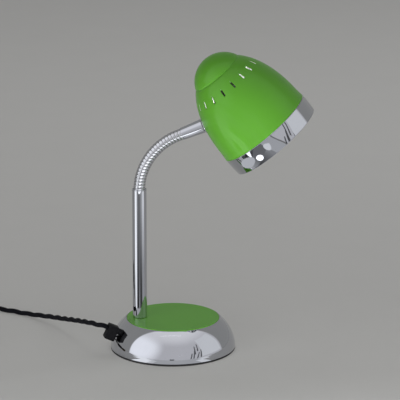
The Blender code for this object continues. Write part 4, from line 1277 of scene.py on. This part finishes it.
def around(middle, azimuth, reach, height):
    """A point this far from an upright axis at X middle. Azimuths go to the right from the viewer's side."""
    turn = radians(azimuth)
    return (middle + reach * sin(turn), -reach * cos(turn), height)


def floor_card(name, start, end, near, far, material, height=0.0006, middle=STEM_X):
    """A level sector about the stem, between two azimuths and two distances."""
    count = 8
    turns = [start + (end - start) * k / count for k in range(count + 1)]
    corners = [around(middle, t, near, height) for t in turns]
    corners += [around(middle, t, far, height) for t in reversed(turns)]
    add_card(name, corners, material)


def wall_card(name, start, end, low, high, reach, material):
    """An upright card on a circle about the stem, between two azimuths and two heights."""
    count = 6
    turns = [start + (end - start) * k / count for k in range(count + 1)]
    corners = [around(STEM_X, t, reach, low) for t in turns]
    corners += [around(STEM_X, t, reach, high) for t in reversed(turns)]
    add_card(name, corners, material)


def oval_card(name, middle, heading, half_length, half_width, height, strength, taper=0.0):
    """A level oval seen from above only. It points away from the lamp, this far round to the right,
    and the taper makes its far end the narrower one."""
    turn = radians(heading)
    along = Vector((sin(turn), -cos(turn)))
    across = Vector((-cos(turn), -sin(turn)))
    corners = []
    for k in range(24):
        t = 2 * pi * k / 24
        width = half_width * (1 - taper * cos(t))
        corners.append((*(Vector(middle) + along * half_length * cos(t) + across * width * sin(t)), height))
    add_card(name, corners, glowing(name, strength, from_above=True))


def make_cards():
    """What the chrome sees of the table in front of the lamp. Low cards give the dome's foot its light.
    Flags a little higher, seen only from above, give the tube its dark stripes."""
    rings = ((0.072, 0.13, 0.62), (0.13, 0.30, 0.80), (0.30, 5.0, 1.0))
    for part, start, end, strength in (
        ("card_low_left", -72, -44, 1.20),
        ("card_low_middle_left", -44, -33, 0.78),
        ("card_low_middle", -33, 50, 0.54),
        ("card_low_right", 50, 68, 0.92),
    ):
        material = glowing(part, strength)
        for ring, (near, far, share) in enumerate(rings):
            floor_card(f"{part}_{ring}", start * share, end * share, near, far, material, middle=0)
    near_base = glowing("card_near", 0.50, from_above=True)
    floor_card("card_near_base", -80, 70, 0.06, 0.095, near_base, 0.02)
    for name, start, end, near, far, near_at, far_at in (
        ("card_left_soft", -76, -60, 0.60, 1.50, 0.10, 0.26),
        ("card_left_white", -60, -42, 1.30, 1.50, 0.13, 0.33),
        ("flag_left", -42, -25, 0.08, 0.42, 0.10, 0.53),
        ("flag_left_dark", -25, -8, 0.015, 0.22, 0.11, 0.53),
        ("card_middle", -8, 8, 0.42, 0.20, 0.10, 0.23),
        ("flag_right_dark", 8, 25, 0.02, 0.34, 0.11, 0.53),
        ("flag_right", 25, 42, 0.09, 0.46, 0.19, 0.53),
        ("card_right_soft", 42, 60, 0.43, 0.90, 0.26, 0.55),
        ("card_right_grey", 60, 80, 0.41, 0.95, 0.26, 0.55),
    ):
        material = glowing(name, near, far, near_at, far_at, from_above=True)
        floor_card(name, start, end, 0.095, 0.65, material, 0.02)
    black = glowing("flag_black", 0.07, from_above=True)
    wall_card("flag_far_middle", -4, 4, 0.0, 0.10, 2.0, black)
    wall_card("card_right_panel", 56, 97, 0.10, 1.60, 1.5, glowing("card_panel", 0.84))
    left, right = -0.060, 0.038
    low, high = (-0.093, 0.157), (-0.1065, 0.198)
    highlight = [(left, *low), (right, *low), (right, *high), (left, *high)]
    add_card("card_highlight", highlight, glowing("card_highlight", 1.9))
    oval_card("card_leaf", (0.10, -0.47), 12, 0.15, 0.033, 0.12, 0.95, taper=0.6)
    oval_card("card_spot", (0.06, -0.122), 14, 0.022, 0.010, 0.165, 3.0)
    oval_card("card_soft", (0.04, -0.06), 5, 0.038, 0.013, 0.165, 0.7)
    dark = glowing("flag_shapes", 0.10)
    for name, low, high, foot, head in (
        ("flag_shape_1", 33, 35, 0.02, 0.40),
        ("flag_shape_2", 38, 41, 0.02, 0.60),
        ("flag_shape_3", 42, 43, 0.30, 0.95),
        ("flag_shape_4", 45, 49, 0.02, 0.40),
        ("flag_shape_5", 48, 50, 0.50, 1.10),
        ("flag_shape_6", 52, 54, 0.05, 0.60),
    ):
        shape = [around(STEM_X, low, 1.5, foot), around(STEM_X, low + 2.4, 1.5, foot)]
        shape += [around(STEM_X, high + 3.4, 1.5, head), around(STEM_X, high + 1.6, 1.5, head)]
        add_card(name, shape, dark)


def make_world():
    """Even grey for the eye and the soft light. Reflections see a bright room in front of the lamp
    and the grey sweep behind it."""
    world = bpy.data.worlds.new("studio")
    bpy.context.scene.world = world
    world.use_nodes = True
    nodes = Nodes(world.node_tree)
    background = nodes.tree.nodes["Background"]
    direction = nodes.node("ShaderNodeTexCoord").outputs["Generated"]

    def lobe(azimuth, rise, inner, outer):
        """1 within the inner angle of a direction, fading to 0 at the outer one."""
        turn, lift = radians(azimuth), radians(rise)
        dot = nodes.node("ShaderNodeVectorMath", operation="DOT_PRODUCT")
        dot.inputs[1].default_value = (sin(turn) * cos(lift), -cos(turn) * cos(lift), sin(lift))
        nodes.link(direction, dot.inputs[0])
        start, end = cos(radians(outer)), cos(radians(inner))
        return nodes.between(dot.outputs["Value"], 0, 1, start, end, interpolation_type="SMOOTHSTEP")

    room = nodes.mix(lobe(-66, 22, 14, 46), (0.64, 0.64, 0.66), (1.20, 1.22, 1.27))
    room = nodes.mix(lobe(0, 88, 10, 52), room, (0.92, 0.92, 0.94))
    room = nodes.mix(lobe(188, 0, 84, 87), room, BACKDROP)
    rays = nodes.node("ShaderNodeLightPath").outputs
    seen = nodes.mix(rays["Is Diffuse Ray"], BACKDROP, AMBIENT)
    nodes.link(nodes.mix(rays["Is Glossy Ray"], seen, room), background.inputs["Color"])


def add_light(name, place, target, size, energy, spread=pi):
    light = bpy.data.lights.new(name, "AREA")
    light.shape = "RECTANGLE"
    light.size, light.size_y = size
    light.energy = energy
    light.spread = spread
    lamp = bpy.data.objects.new(name, light)
    bpy.context.scene.collection.objects.link(lamp)
    lamp.location = place
    lamp.rotation_euler = (Vector(target) - Vector(place)).to_track_quat("-Z", "Y").to_euler()
    lamp.visible_camera = False
    lamp.visible_glossy = False


def make_floor():
    """A pale sweep, partly lit from below, so that shadows on it stay faint."""
    reach = 14
    mesh = bpy.data.meshes.new("floor")
    corners = [(-reach, -reach, 0), (reach, -reach, 0), (reach, reach, 0), (-reach, reach, 0)]
    mesh.from_pydata(corners, [], [range(4)])
    glow = {"Emission_Color": (1.0, 0.99, 0.97, 1), "Emission_Strength": 0.160}
    finish = Finish("pale_floor", Roughness=0.85, Specular_IOR_Level=0.1, **glow)
    finish.set("Base Color", finish.mix(finish.noise(14, 4), (0.41, 0.41, 0.40), (0.43, 0.43, 0.42)))
    mesh.materials.append(finish.material)
    floor = add_object("floor", mesh)


def make_lights():
    """Light from the table in front and from level with the lamp, a little from above and behind, and a
    faint one that reaches into the shade."""
    head = (0.08, 0, 0.25)
    add_light("table_bounce", (0.14, -0.32, 0.012), head, (1.0, 0.40), 2.6)
    add_light("front", (0.0, -2.6, 0.25), head, (1.3, 1.0), 18)
    add_light("left", (-1.7, -1.5, 0.9), head, (1.2, 1.2), 7.5)
    add_light("back_right", (1.5, 1.3, 1.7), head, (1.5, 1.5), 8)
    add_light("background", (0, 1.0, 2.2), (0, 1.0, 0), (1.6, 1.0), 3, spread=radians(110))
    along = Vector((cos(SHADE_TILT), 0, -sin(SHADE_TILT)))
    mouth = SHADE_ORIGIN + 0.25 * along
    add_light("into_shade", mouth, SHADE_ORIGIN, (0.08, 0.08), 0.075, spread=radians(40))


def make_camera():
    """Long lens at eye height over a table: 15 degrees above level, 3 m from the lamp."""
    aim = Vector((0.03033, 0, 0.17101))
    yaw, pitch, distance = radians(0.34), radians(15.21), 3.0
    view = Vector((-sin(yaw) * cos(pitch), cos(yaw) * cos(pitch), -sin(pitch)))
    data = bpy.data.cameras.new("camera")
    data.sensor_width = 36
    data.lens = 243.8
    camera = bpy.data.objects.new("camera", data)
    bpy.context.scene.collection.objects.link(camera)
    camera.location = aim - view * distance
    camera.rotation_euler = view.to_track_quat("-Z", "Y").to_euler()
    bpy.context.scene.camera = camera
    bpy.context.scene.view_settings.view_transform = "Standard"


finish_frame_nodes()
make_camera()
make_base()
make_stem()
make_neck()
shade_frame = shade_matrix()
last_hinge = hinge_matrix(LINK_COUNT + 1)
make_shade(shade_frame)
make_neck_end(last_hinge, shade_frame)
make_holder(shade_frame)
grip_frame = grip_matrix()
make_grip(grip_frame)
on_cord = [*make_switch(), *make_plug(), make_tie()]
make_cord(grip_frame)
make_floor()
make_cards()
make_world()
make_lights()
